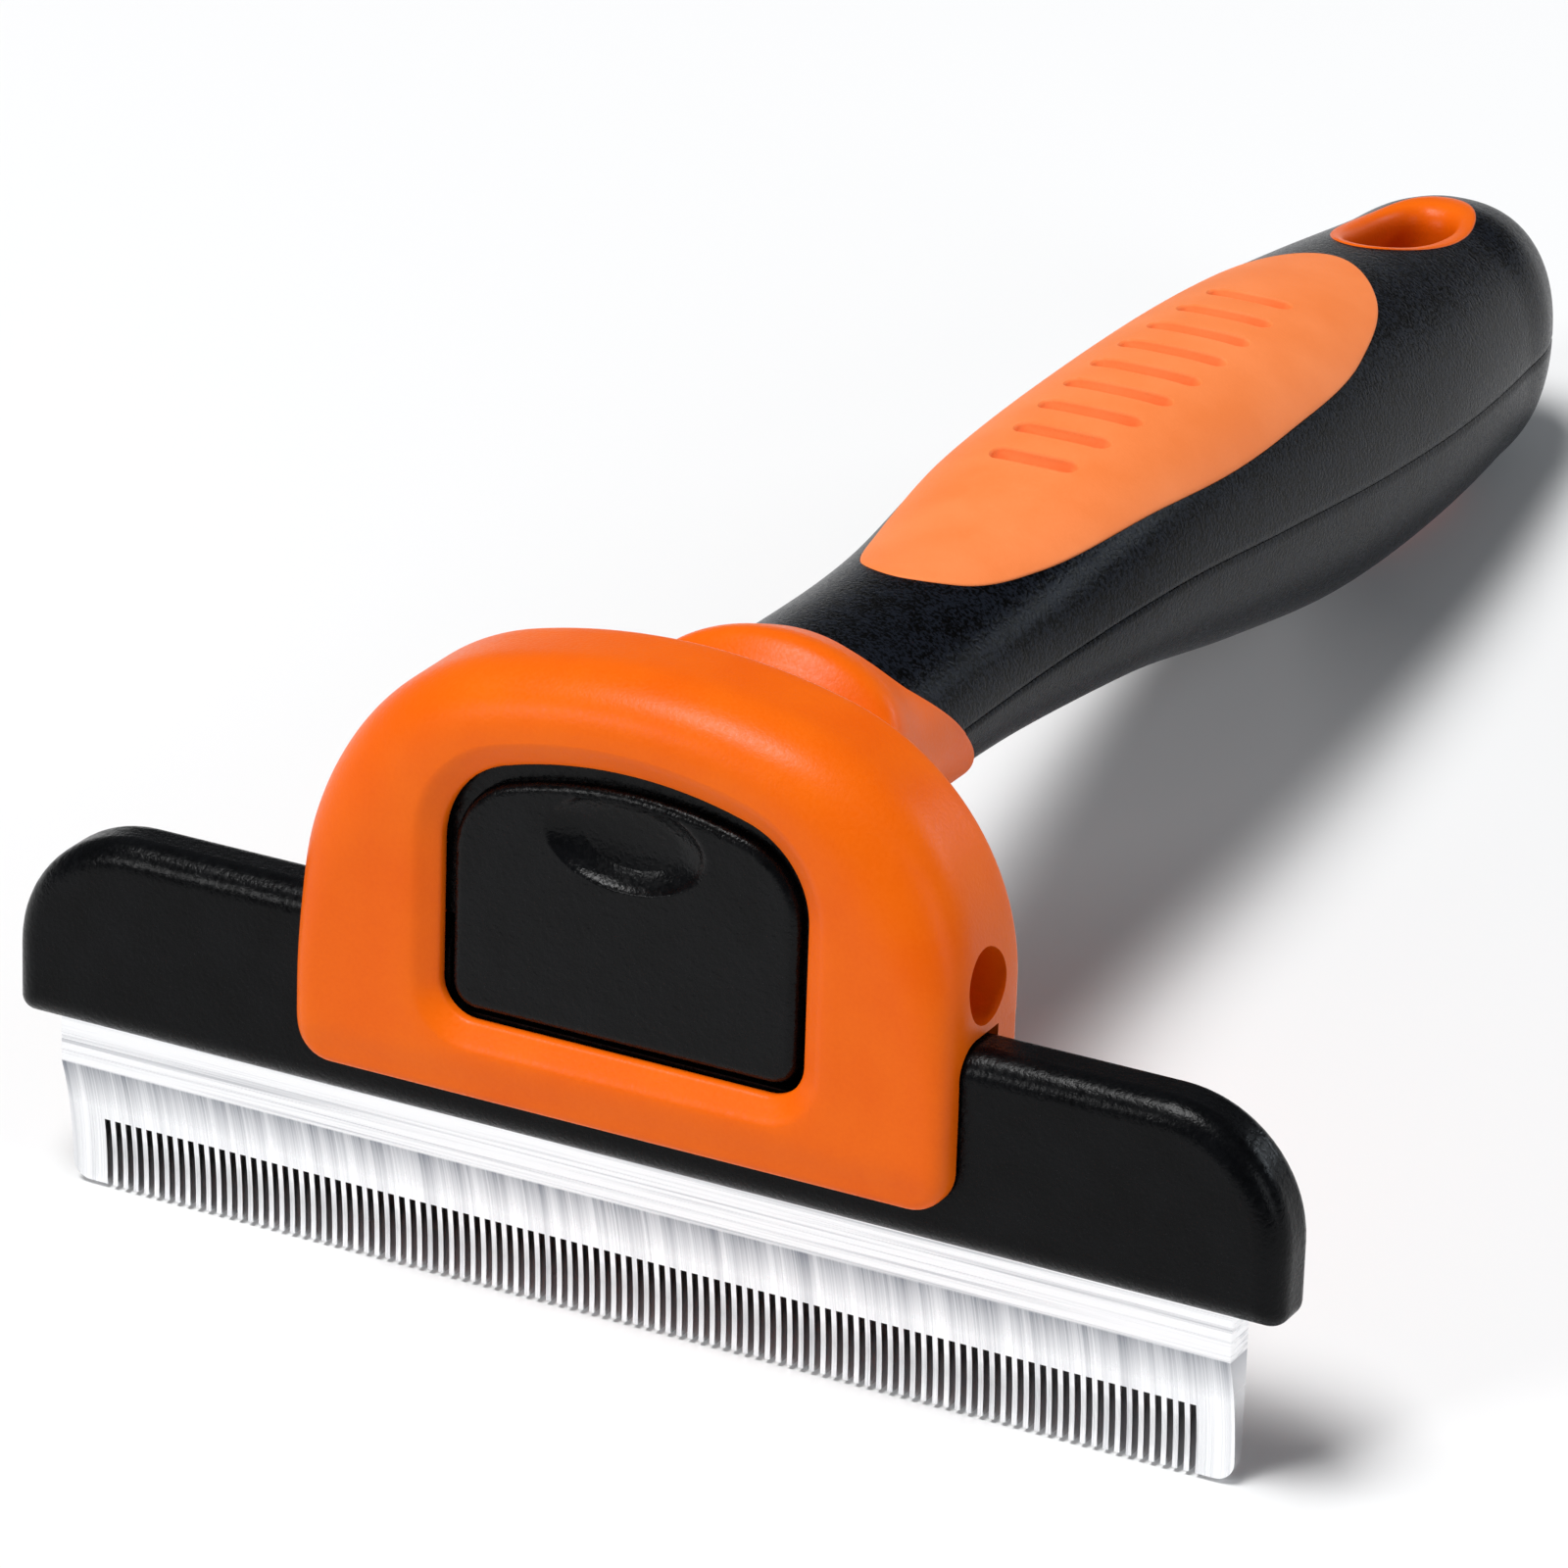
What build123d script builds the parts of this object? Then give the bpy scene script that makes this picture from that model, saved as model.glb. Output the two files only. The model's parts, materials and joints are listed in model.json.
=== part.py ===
from build123d import *
from math import atan2, cos, degrees, pi, radians, sin, sqrt
import os

os.makedirs("parts", exist_ok=True)

# ---------------------------------------------------------------- driving dimensions (mm, degrees)
# The tool stands on its teeth and on the butt of its handle, so its own axes lean back.
LEAN = 9.68
REAR_TIP_DEPTH = 2.95
STAND_LENGTH = 161.27

# Blade
BLADE_LENGTH = 102.0
BLADE_THICKNESS = 2.95
BLADE_TOP = 24.0
HOLLOW_TOP = 10.75
HOLLOW_DEPTH = 1.75
HOLLOW_BULGE = 0.5
TIP_CORNER = 1.6
SLOT_COUNT = 100
SLOT_PITCH = 0.961
SLOT_WIDTH = 0.53
SLOT_TOP = 5.85
BLADE_SCREW_X = (-42.0, -34.0, 34.0, 42.0)
BLADE_SCREW_HEIGHT = 19.0
BLADE_HOLE = 1.35
BLADE_SCREW_HEAD = 2.7
BLADE_SCREW_HEAD_DEPTH = 0.9
BLADE_SCREW_CROSS = (3.2, 0.6)

# Carrier that clamps the blade
CARRIER_HALF = 55.0
CARRIER_FOOT = 14.2
CARRIER_TOP = 30.8
CARRIER_FRONT = -1.0
CARRIER_SPLIT = 1.5
CARRIER_BACK = 4.6
CARRIER_SHOULDER = 10.6
CARRIER_FOOT_CORNER = 1.2
CARRIER_FRONT_EDGE = 2.2
CARRIER_BACK_EDGE = 1.4
LATCH_BAY_HALF = 15.4
LATCH_BAY_FOOT = 24.3
LATCH_BAY_DEPTH = 1.6
CATCH_HALF = 5.3
CATCH_FOOT = 26.0
CATCH_TOP = 28.5
CATCH_DEPTH = 3.3

# Head housing, a D in front view
HEAD_FRONT = -3.2
HEAD_BACK = 8.4
HEAD_HALF = 28.4
HEAD_FOOT = 17.8
HEAD_SPRING = 33.5
HEAD_SHOULDER = 20.0
HEAD_TOP = 54.6
HEAD_FOOT_CORNER = 3.4
HEAD_EDGE = 3.0
HEAD_BACK_EDGE = 0.8
FRONT_WALL = 1.9
SIDE_WALL = 2.6
SLOT_CLEARANCE = 0.3
WINDOW_HALF = 15.7
WINDOW_FOOT = 24.0
WINDOW_SPRING = 38.5
WINDOW_SHOULDER = 7.5
WINDOW_TOP = 47.2
WINDOW_FOOT_CORNER = 3.0
WINDOW_EDGE = 1.1
BACK_PLATE_FRONT = 6.4
BACK_BAND_FRONT = 4.9
PLATE_CLEARANCE = 0.1
ROOT_OVERLAP = 0.3
POST_ROOT = 1.0

# Release button and its pivot
BUTTON_FACE = -1.9
BUTTON_BACK = 0.8
BUTTON_GAP = 0.8
BUTTON_TOP_GAP = 1.5
BUTTON_EDGE = 0.7
FLANGE_FRONT = -0.7
FLANGE_WIDTH = 0.9
FLANGE_TOP = 1.9
FLANGE_FOOT = 32.0
PIVOT_DEPTH = 3.0
PIVOT_HEIGHT = 34.8
PIN_RADIUS = 1.5
PIN_HALF = 22.1
PIN_CLEARANCE = 0.05
BOSS_RADIUS = 2.3
BOSS_HALF = 12.0
SIDE_BORE_RADIUS = 3.0
SIDE_BORE_FLOOR = 22.3
PIVOT_BLOCK_INNER = 16.9
PIVOT_BLOCK_TOP = 39.4
NOSE_HALF = 5.0
NOSE_FOOT = 26.3
NOSE_TOP = 28.3
NOSE_DEPTH = 2.9
DIMPLE_HALF_WIDTH = 6.9
DIMPLE_HALF_HEIGHT = 3.9
DIMPLE_HEIGHT = 41.4
DIMPLE_DEPTH = 1.0
DIMPLE_STAND = 1.2

# Return springs behind the button
SPRING_X = 7.0
SPRING_HEIGHT = 42.5
SPRING_RADIUS = 1.6
SPRING_WIRE = 0.25
SPRING_TURNS = 4
SPRING_END_GAP = 0.05
PIN_CHAMFER = 0.3

# Head screws: two near the crown, two at the shoulders
HEAD_SCREW_PLACES = ((-14.0, 47.3), (14.0, 47.3), (-18.6, 43.0), (18.6, 43.0))
HEAD_POST = 2.0
HEAD_SCREW_SHANK = 1.0
HEAD_SCREW_HEAD = 1.9
HEAD_SCREW_HEAD_DEPTH = 1.2
HEAD_SCREW_TIP = 0.5
HEAD_SCREW_RECESS = 0.1

# Neck collar: depth, half width, half height and centre height of each oval
COLLAR_OVALS = (
    (HEAD_BACK, 20.6, 8.4, 45.6),
    (14.0, 15.6, 8.3, 44.2),
    (21.0, 11.9, 8.3, 41.9),
    (30.0, 10.9, 8.4, 40.5),
    (43.0, 10.8, 8.6, 40.4),
)
COLLAR_CUT_TOP = (27.3, 48.5)
COLLAR_CUT_SLOPE = 0.84
COLLAR_CUT_RISE = 40.0
COLLAR_CUT_DROP = 48.0
COLLAR_SPLIT = 40.6

# Handle: depth, half width, half height and centre height of each oval
GRIP_OVALS = (
    (20.0, 10.6, 7.9, 40.7),
    (32.0, 10.5, 8.0, 40.5),
    (50.0, 10.4, 8.4, 40.4),
    (70.0, 11.9, 10.4, 40.9),
    (90.0, 12.8, 12.7, 39.6),
    (110.0, 13.1, 14.1, 38.1),
    (128.0, 12.6, 13.4, 37.2),
    (142.0, 11.3, 12.4, 36.8),
    (149.0, 10.4, 11.9, 36.8),
    (153.0, 8.8, 10.6, 36.9),
    (155.2, 6.4, 8.2, 37.0),
    (156.0, 3.4, 4.6, 37.0),
)
OVAL_POWER = 2.3
OVAL_POINTS = 20
SHELL_WALL = 2.6
CAVITY_END = 146.0

# Handle core
CORE_HALF_WIDTH = 6.0
CORE_FOOT = 36.9
CORE_TOP = 43.9
CORE_END = 122.0
CORE_FLANGE_FRONT = 4.7
CORE_FLANGE_FOOT = 39.8
BORED_SHORT = 0.3

# Grip inlay: half outline, depth against half width
INLAY_NEAR = 42.0
INLAY_FAR = 123.4
INLAY_EDGE = ((44.5, 4.4), (53.0, 7.4), (75.0, 10.5), (92.0, 11.0), (108.0, 10.1), (118.0, 6.8))
INLAY_THICKNESS = 1.3
SEAM_REACH = 15.0

# Hanging eyelet
EYELET_DEPTH = 138.8
EYELET_HALF_LENGTH = 10.8
EYELET_HALF_WIDTH = 5.1
HANG_SLOT_LENGTH = 15.0
HANG_SLOT_WIDTH = 6.6
HANG_SLOT_DEPTH = 138.3

# Handle screws, driven from below
HANDLE_SCREW_PLACES = ((0.0, 56.0), (0.0, 84.0), (0.0, 112.0))
HANDLE_POST = 3.4
HANDLE_SCREW_SHANK = 1.4
HANDLE_SCREW_HEAD = 2.6
HANDLE_HEAD_WELL = 2.9
HANDLE_HEAD_THICKNESS = 1.6
HANDLE_SCREW_CROSS = (3.4, 0.7)
HANDLE_SHANK_TOP = 47.0
HANDLE_HEAD_SEAT = 33.4

FAR = 80.0

# ---------------------------------------------------------------- the tool's own planes
lean = radians(LEAN)
TOOL = Plane(
    origin=(0, -STAND_LENGTH / 2, REAR_TIP_DEPTH * sin(lean)),
    x_dir=(1, 0, 0),
    z_dir=(0, sin(lean), cos(lean)),
)
BACKWARD = Axis(TOOL.origin, TOOL.y_dir)
UPWARD = Axis(TOOL.origin, TOOL.z_dir)


def spot(x, depth, height):
    """Point in space from across, back and up in the tool's own axes."""
    return TOOL.from_local_coords(Vector(x, depth, height))


def facing(depth):
    """Plane facing the user's side of the blade; a sketch on it reads (across, up)."""
    return Plane(spot(0, depth, 0), x_dir=(1, 0, 0), z_dir=-TOOL.y_dir)


def level(height):
    """Plane across the tool at a height; a sketch on it reads (across, back)."""
    return Plane(spot(0, 0, height), x_dir=(1, 0, 0), z_dir=TOOL.z_dir)


def side(x):
    """Plane facing +X; a sketch on it reads (back, up)."""
    return Plane(spot(x, 0, 0), x_dir=TOOL.y_dir, z_dir=(1, 0, 0))


# ---------------------------------------------------------------- shared outlines
def domed(half, foot, spring, shoulder, top, foot_corner):
    """Face with straight sides, round shoulders, a shallow crown and round foot corners."""
    centre = half - shoulder
    rise = top - spring
    crown = (centre**2 + rise**2 - shoulder**2) / (2 * (rise - shoulder))
    turn = degrees(atan2(spring - top + crown, centre))
    with BuildSketch(mode=Mode.PRIVATE) as outline:
        with BuildLine():
            Line((0, foot), (half, foot))
            Line((half, foot), (half, spring))
            CenterArc((centre, spring), shoulder, 0, turn)
            CenterArc((0, top - crown), crown, turn, 90 - turn)
            mirror(about=Plane.YZ)
        make_face()
        if foot_corner:
            fillet(outline.vertices().group_by(Axis.Y)[0], foot_corner)
    add(outline.sketch)


def head_face(inset=0.0):
    """The head's D, parallel to its edge at a distance."""
    domed(
        HEAD_HALF - inset, HEAD_FOOT + inset, HEAD_SPRING, HEAD_SHOULDER - inset,
        HEAD_TOP - inset, HEAD_FOOT_CORNER,
    )


def button_face(grow, top_grow, foot):
    """The button's outline, grown from its cap."""
    domed(
        WINDOW_HALF - BUTTON_GAP + grow, foot, WINDOW_SPRING - 0.7,
        WINDOW_SHOULDER - BUTTON_GAP + grow, WINDOW_TOP - BUTTON_TOP_GAP + top_grow, 0,
    )


def carrier_face(grow=0.0):
    """Front outline of the carrier, with round top shoulders."""
    with BuildSketch(mode=Mode.PRIVATE) as outline:
        with Locations((0, (CARRIER_FOOT + CARRIER_TOP) / 2)):
            Rectangle(2 * (CARRIER_HALF + grow), CARRIER_TOP - CARRIER_FOOT + 2 * grow)
        fillet(outline.vertices().group_by(Axis.Y)[-1], CARRIER_SHOULDER + grow)
        fillet(outline.vertices().group_by(Axis.Y)[0], CARRIER_FOOT_CORNER)
    add(outline.sketch)


def box_face(left, low, right, high):
    """Rectangle between two corners."""
    with Locations(((left + right) / 2, (low + high) / 2)):
        Rectangle(right - left, high - low)


def oval(half_width, half_height, centre):
    """Closed oval, a little squarer than an ellipse, in (across, up)."""
    points = []
    for step in range(OVAL_POINTS):
        angle = 2 * pi * step / OVAL_POINTS
        c, s = cos(angle), sin(angle)
        reach = (abs(c) ** OVAL_POWER + abs(s) ** OVAL_POWER) ** (-1 / OVAL_POWER)
        points.append((half_width * c * reach, centre + half_height * s * reach))
    with BuildSketch(mode=Mode.PRIVATE) as outline:
        with BuildLine():
            Spline(*points, periodic=True)
        make_face()
    add(outline.sketch)


def oval_loft(rows, shrink=0.0):
    """Smooth body through a row of ovals, shrunk all round."""
    with BuildPart(mode=Mode.PRIVATE) as body:
        for depth, half_width, half_height, centre in rows:
            with BuildSketch(facing(depth)):
                oval(half_width - shrink, half_height - shrink, centre)
        loft()
    return body.part


def block(plane, left, low, right, high, amount, both=False):
    """Straight block from a rectangle on a plane."""
    with BuildPart(mode=Mode.PRIVATE) as body:
        with BuildSketch(plane):
            box_face(left, low, right, high)
        extrude(amount=amount, both=both)
    return body.part


def cross_head(radius, cross):
    """Screw head outline with a cross recess of (length, width)."""
    length, width = cross
    Circle(radius)
    Rectangle(length, width, mode=Mode.SUBTRACT)
    Rectangle(width, length, mode=Mode.SUBTRACT)


# ---------------------------------------------------------------- blade
blade_screw_places = [(x, BLADE_SCREW_HEIGHT) for x in BLADE_SCREW_X]

with BuildPart() as blade:
    with BuildSketch(side(0)):
        with BuildLine():
            Polyline((BLADE_THICKNESS, 0), (BLADE_THICKNESS, BLADE_TOP), (0, BLADE_TOP), (0, HOLLOW_TOP))
            ThreePointArc(
                (0, HOLLOW_TOP),
                (HOLLOW_DEPTH / 2 + HOLLOW_BULGE, HOLLOW_TOP / 2 + HOLLOW_BULGE / 6),
                (HOLLOW_DEPTH, 0),
            )
            Line((HOLLOW_DEPTH, 0), (BLADE_THICKNESS, 0))
        make_face()
    extrude(amount=BLADE_LENGTH / 2, both=True)
    upright_corners = blade.edges().filter_by(BACKWARD).group_by(UPWARD)[0]
    fillet(upright_corners, TIP_CORNER)
    with BuildSketch(facing(0)):
        for index in range(SLOT_COUNT):
            slot_x = (index - (SLOT_COUNT - 1) / 2) * SLOT_PITCH
            with Locations((slot_x, SLOT_TOP / 2 - 0.5)):
                Rectangle(SLOT_WIDTH, SLOT_TOP + 1)
    extrude(amount=-BLADE_THICKNESS, mode=Mode.SUBTRACT)
    with BuildSketch(facing(0)):
        with Locations(*blade_screw_places):
            Circle(BLADE_HOLE)
    extrude(amount=-BLADE_THICKNESS, mode=Mode.SUBTRACT)
blade.part.label = "blade"
export_step(blade.part, "parts/blade.step")

# ---------------------------------------------------------------- carrier covers
with BuildPart() as carrier:
    with BuildSketch(facing(CARRIER_FRONT)):
        carrier_face()
    extrude(amount=CARRIER_FRONT - CARRIER_BACK)
    front_rim = carrier.faces().sort_by(BACKWARD)[0].edges().group_by(UPWARD)[1:]
    fillet([edge for group in front_rim for edge in group], CARRIER_FRONT_EDGE)
    back_rim = carrier.faces().sort_by(BACKWARD)[-1].edges().group_by(UPWARD)[1:]
    fillet([edge for group in back_rim for edge in group], CARRIER_BACK_EDGE)
    add(
        block(
            facing(0), -BLADE_LENGTH / 2, CARRIER_FOOT - 1, BLADE_LENGTH / 2, BLADE_TOP,
            -BLADE_THICKNESS,
        ),
        mode=Mode.SUBTRACT,
    )
    add(
        block(
            facing(CARRIER_FRONT - 1), -LATCH_BAY_HALF, LATCH_BAY_FOOT, LATCH_BAY_HALF,
            CARRIER_TOP + 1, CARRIER_FRONT - 1 - LATCH_BAY_DEPTH,
        ),
        mode=Mode.SUBTRACT,
    )
    add(
        block(facing(0), -CATCH_HALF, CATCH_FOOT, CATCH_HALF, CATCH_TOP, -CATCH_DEPTH),
        mode=Mode.SUBTRACT,
    )
    with BuildSketch(facing(0)):
        with Locations(*blade_screw_places):
            Circle(BLADE_HOLE)
    extrude(amount=-CARRIER_BACK, mode=Mode.SUBTRACT)

with BuildPart() as carrier_front_cover:
    add(carrier.part)
    split(bisect_by=facing(CARRIER_SPLIT), keep=Keep.TOP)
carrier_front_cover.part.label = "carrier_front_cover"
export_step(carrier_front_cover.part, "parts/carrier_front_cover.step")

with BuildPart() as carrier_rear_cover:
    add(carrier.part)
    split(bisect_by=facing(CARRIER_SPLIT), keep=Keep.BOTTOM)
carrier_rear_cover.part.label = "carrier_rear_cover"
export_step(carrier_rear_cover.part, "parts/carrier_rear_cover.step")

with BuildPart() as blade_screws:
    with BuildSketch(facing(0)):
        with Locations(*blade_screw_places):
            Circle(BLADE_HOLE)
    extrude(amount=-CARRIER_BACK)
    with BuildSketch(facing(CARRIER_BACK)):
        with Locations(*blade_screw_places):
            cross_head(BLADE_SCREW_HEAD, BLADE_SCREW_CROSS)
    extrude(amount=-BLADE_SCREW_HEAD_DEPTH)
blade_screws.part.label = "blade_screws"
export_step(blade_screws.part, "parts/blade_screws.step")

# ---------------------------------------------------------------- head housing and back plate
with BuildPart() as head_housing:
    with BuildSketch(facing(HEAD_FRONT)):
        head_face()
    extrude(amount=HEAD_FRONT - HEAD_BACK)
    fillet(head_housing.faces().sort_by(BACKWARD)[0].edges(), HEAD_EDGE)
    fillet(head_housing.faces().sort_by(BACKWARD)[-1].edges(), HEAD_BACK_EDGE)
    with BuildPart(mode=Mode.PRIVATE) as cavity:
        with BuildSketch(facing(HEAD_FRONT + FRONT_WALL)):
            head_face(SIDE_WALL)
            box_face(-FAR, 0, FAR, CARRIER_TOP + SLOT_CLEARANCE)
        extrude(amount=HEAD_FRONT + FRONT_WALL - HEAD_BACK - 1)
    add(cavity.part, mode=Mode.SUBTRACT)
    for sign in (-1, 1):
        add(
            block(
                facing(HEAD_FRONT + POST_ROOT), sign * PIVOT_BLOCK_INNER, CARRIER_TOP + SLOT_CLEARANCE,
                sign * (HEAD_HALF - POST_ROOT), PIVOT_BLOCK_TOP,
                HEAD_FRONT + POST_ROOT - BACK_PLATE_FRONT,
            )
        )
    with BuildSketch(facing(HEAD_FRONT + POST_ROOT)):
        with Locations(*HEAD_SCREW_PLACES):
            Circle(HEAD_POST)
    extrude(amount=HEAD_FRONT + POST_ROOT - CORE_FLANGE_FRONT)
    with BuildSketch(facing(HEAD_FRONT)):
        domed(WINDOW_HALF, WINDOW_FOOT, WINDOW_SPRING, WINDOW_SHOULDER, WINDOW_TOP, WINDOW_FOOT_CORNER)
    extrude(amount=-FRONT_WALL - ROOT_OVERLAP, mode=Mode.SUBTRACT)
    window_rim = head_housing.faces().sort_by(BACKWARD)[0].inner_wires()[0].edges()
    fillet(window_rim, WINDOW_EDGE)
    with BuildSketch(side(0)):
        with Locations((PIVOT_DEPTH, PIVOT_HEIGHT)):
            Circle(PIN_RADIUS)
    extrude(amount=FAR, both=True, mode=Mode.SUBTRACT)
    for sign in (-1, 1):
        with BuildSketch(side(sign * SIDE_BORE_FLOOR)):
            with Locations((PIVOT_DEPTH, PIVOT_HEIGHT)):
                Circle(SIDE_BORE_RADIUS)
        extrude(amount=sign * FAR, mode=Mode.SUBTRACT)
    with BuildSketch(facing(CORE_FLANGE_FRONT)):
        with Locations(*HEAD_SCREW_PLACES):
            Circle(HEAD_SCREW_SHANK)
    extrude(amount=CORE_FLANGE_FRONT, mode=Mode.SUBTRACT)
head_housing.part.label = "head_housing"
export_step(head_housing.part, "parts/head_housing.step")

with BuildPart() as head_back_plate:
    with BuildSketch(facing(BACK_PLATE_FRONT)):
        head_face(SIDE_WALL + PLATE_CLEARANCE)
    extrude(amount=BACK_PLATE_FRONT - HEAD_BACK)
    add(
        block(facing(0), -FAR, 0, FAR, CARRIER_TOP + SLOT_CLEARANCE, -FAR),
        mode=Mode.SUBTRACT,
    )
    with BuildPart(mode=Mode.PRIVATE) as band:
        with BuildSketch(facing(BACK_BAND_FRONT)):
            head_face()
        extrude(amount=BACK_BAND_FRONT - HEAD_BACK)
        fillet(band.faces().sort_by(BACKWARD)[-1].edges(), HEAD_BACK_EDGE)
        add(
            block(facing(0), -FAR, CARRIER_TOP + SLOT_CLEARANCE, FAR, FAR, -FAR),
            mode=Mode.SUBTRACT,
        )
    add(band.part)
    add(
        block(
            facing(0), -CORE_HALF_WIDTH, CORE_FOOT, CORE_HALF_WIDTH, CORE_TOP, -FAR,
        ),
        mode=Mode.SUBTRACT,
    )
    with BuildSketch(facing(0)):
        with Locations(*HEAD_SCREW_PLACES):
            Circle(HEAD_SCREW_SHANK)
    extrude(amount=-FAR, mode=Mode.SUBTRACT)
    with BuildSketch(facing(HEAD_BACK - HEAD_SCREW_HEAD_DEPTH)):
        with Locations(*HEAD_SCREW_PLACES):
            Circle(HEAD_SCREW_HEAD)
    extrude(amount=-FAR, mode=Mode.SUBTRACT)
head_back_plate.part.label = "head_back_plate"
export_step(head_back_plate.part, "parts/head_back_plate.step")

with BuildPart() as head_screws:
    with BuildSketch(facing(HEAD_SCREW_TIP)):
        with Locations(*HEAD_SCREW_PLACES):
            Circle(HEAD_SCREW_SHANK)
    extrude(amount=HEAD_SCREW_TIP - HEAD_BACK + ROOT_OVERLAP)
    with BuildSketch(facing(HEAD_BACK - HEAD_SCREW_HEAD_DEPTH)):
        with Locations(*HEAD_SCREW_PLACES):
            Circle(HEAD_SCREW_HEAD)
    extrude(amount=-HEAD_SCREW_HEAD_DEPTH + HEAD_SCREW_RECESS)
head_screws.part.label = "head_screws"
export_step(head_screws.part, "parts/head_screws.step")

# ---------------------------------------------------------------- release button, pin and springs
dimple_cut = sqrt(1 - (DIMPLE_STAND / (DIMPLE_STAND + DIMPLE_DEPTH)) ** 2)
thumb_dimple = facing(BUTTON_FACE - DIMPLE_STAND) * Pos(0, DIMPLE_HEIGHT) * scale(
    Sphere(1),
    by=(DIMPLE_HALF_WIDTH / dimple_cut, DIMPLE_HALF_HEIGHT / dimple_cut, DIMPLE_STAND + DIMPLE_DEPTH),
)

with BuildPart() as release_button:
    with BuildSketch(facing(BUTTON_FACE)) as cap_outline:
        button_face(0, 0, WINDOW_FOOT + BUTTON_GAP)
        fillet(cap_outline.vertices().group_by(Axis.Y)[0], WINDOW_FOOT_CORNER - BUTTON_GAP)
    extrude(amount=BUTTON_FACE - BUTTON_BACK)
    fillet(release_button.faces().sort_by(BACKWARD)[0].edges(), BUTTON_EDGE)
    with BuildSketch(facing(FLANGE_FRONT)):
        button_face(FLANGE_WIDTH + BUTTON_GAP / 2, FLANGE_TOP, FLANGE_FOOT)
    extrude(amount=FLANGE_FRONT - BUTTON_BACK)
    with BuildSketch(side(0)):
        with Locations((PIVOT_DEPTH, PIVOT_HEIGHT)):
            Circle(BOSS_RADIUS)
        box_face(
            BUTTON_BACK - ROOT_OVERLAP, PIVOT_HEIGHT - BOSS_RADIUS,
            PIVOT_DEPTH, PIVOT_HEIGHT + BOSS_RADIUS,
        )
    extrude(amount=BOSS_HALF, both=True)
    add(
        block(
            facing(BUTTON_BACK - ROOT_OVERLAP), -NOSE_HALF, NOSE_FOOT, NOSE_HALF, NOSE_TOP,
            BUTTON_BACK - ROOT_OVERLAP - NOSE_DEPTH,
        )
    )
    with BuildSketch(side(0)):
        with Locations((PIVOT_DEPTH, PIVOT_HEIGHT)):
            Circle(PIN_RADIUS + PIN_CLEARANCE)
    extrude(amount=FAR, both=True, mode=Mode.SUBTRACT)
    add(thumb_dimple, mode=Mode.SUBTRACT)
release_button.part.label = "release_button"
export_step(release_button.part, "parts/release_button.step")

with BuildPart() as button_pivot_pin:
    with BuildSketch(side(0)):
        with Locations((PIVOT_DEPTH, PIVOT_HEIGHT)):
            Circle(PIN_RADIUS)
    extrude(amount=PIN_HALF, both=True)
    chamfer(button_pivot_pin.edges().group_by(Axis.X)[0], PIN_CHAMFER)
    chamfer(button_pivot_pin.edges().group_by(Axis.X)[-1], PIN_CHAMFER)
button_pivot_pin.part.label = "button_pivot_pin"
export_step(button_pivot_pin.part, "parts/button_pivot_pin.step")

spring_length = CORE_FLANGE_FRONT - BUTTON_BACK - 2 * (SPRING_WIRE + SPRING_END_GAP)
for hand, sign in (("left", -1), ("right", 1)):
    with BuildPart() as button_spring:
        with BuildLine() as coil:
            Helix(
                pitch=spring_length / SPRING_TURNS, height=spring_length, radius=SPRING_RADIUS,
                center=spot(sign * SPRING_X, BUTTON_BACK + SPRING_WIRE + SPRING_END_GAP, SPRING_HEIGHT),
                direction=TOOL.y_dir,
            )
        with BuildSketch(coil.line ^ 0):
            Circle(SPRING_WIRE)
        sweep(is_frenet=True)
    button_spring.part.label = f"button_spring_{hand}"
    export_step(button_spring.part, f"parts/button_spring_{hand}.step")

# ---------------------------------------------------------------- neck collar and handle bodies
with BuildPart() as behind_cut:
    with BuildSketch(side(0)):
        with BuildLine():
            depth, height = COLLAR_CUT_TOP
            above = height + COLLAR_CUT_RISE
            below = height - COLLAR_CUT_DROP
            Polyline(
                (depth - COLLAR_CUT_RISE * COLLAR_CUT_SLOPE, above),
                (depth + COLLAR_CUT_DROP * COLLAR_CUT_SLOPE, below),
                (FAR * 3, below), (FAR * 3, above), close=True,
            )
        make_face()
    extrude(amount=FAR, both=True)

with BuildPart() as collar:
    add(oval_loft(COLLAR_OVALS))
    add(behind_cut.part, mode=Mode.SUBTRACT)
    add(
        block(facing(0), -CORE_HALF_WIDTH, CORE_FOOT, CORE_HALF_WIDTH, CORE_TOP, -FAR),
        mode=Mode.SUBTRACT,
    )

with BuildPart() as neck_collar_upper:
    add(collar.part)
    split(bisect_by=level(COLLAR_SPLIT), keep=Keep.TOP)
neck_collar_upper.part.label = "neck_collar_upper"
export_step(neck_collar_upper.part, "parts/neck_collar_upper.step")

with BuildPart() as neck_collar_lower:
    add(collar.part)
    split(bisect_by=level(COLLAR_SPLIT), keep=Keep.BOTTOM)
neck_collar_lower.part.label = "neck_collar_lower"
export_step(neck_collar_lower.part, "parts/neck_collar_lower.step")

with BuildPart() as grip:
    add(oval_loft(GRIP_OVALS))

inner_rows = [row for row in GRIP_OVALS if row[0] < CAVITY_END]
grip_cavity = oval_loft(inner_rows, SHELL_WALL)
inlay_bed = oval_loft(GRIP_OVALS, INLAY_THICKNESS)

with BuildPart() as inlay_prism:
    with BuildSketch(level(CORE_TOP)):
        with BuildLine():
            right = [(width, depth) for depth, width in INLAY_EDGE]
            left = [(-width, depth) for width, depth in reversed(right)]
            Spline((0, INLAY_NEAR), *right, (0, INLAY_FAR), *left, periodic=True)
        make_face()
    extrude(amount=FAR)

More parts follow.
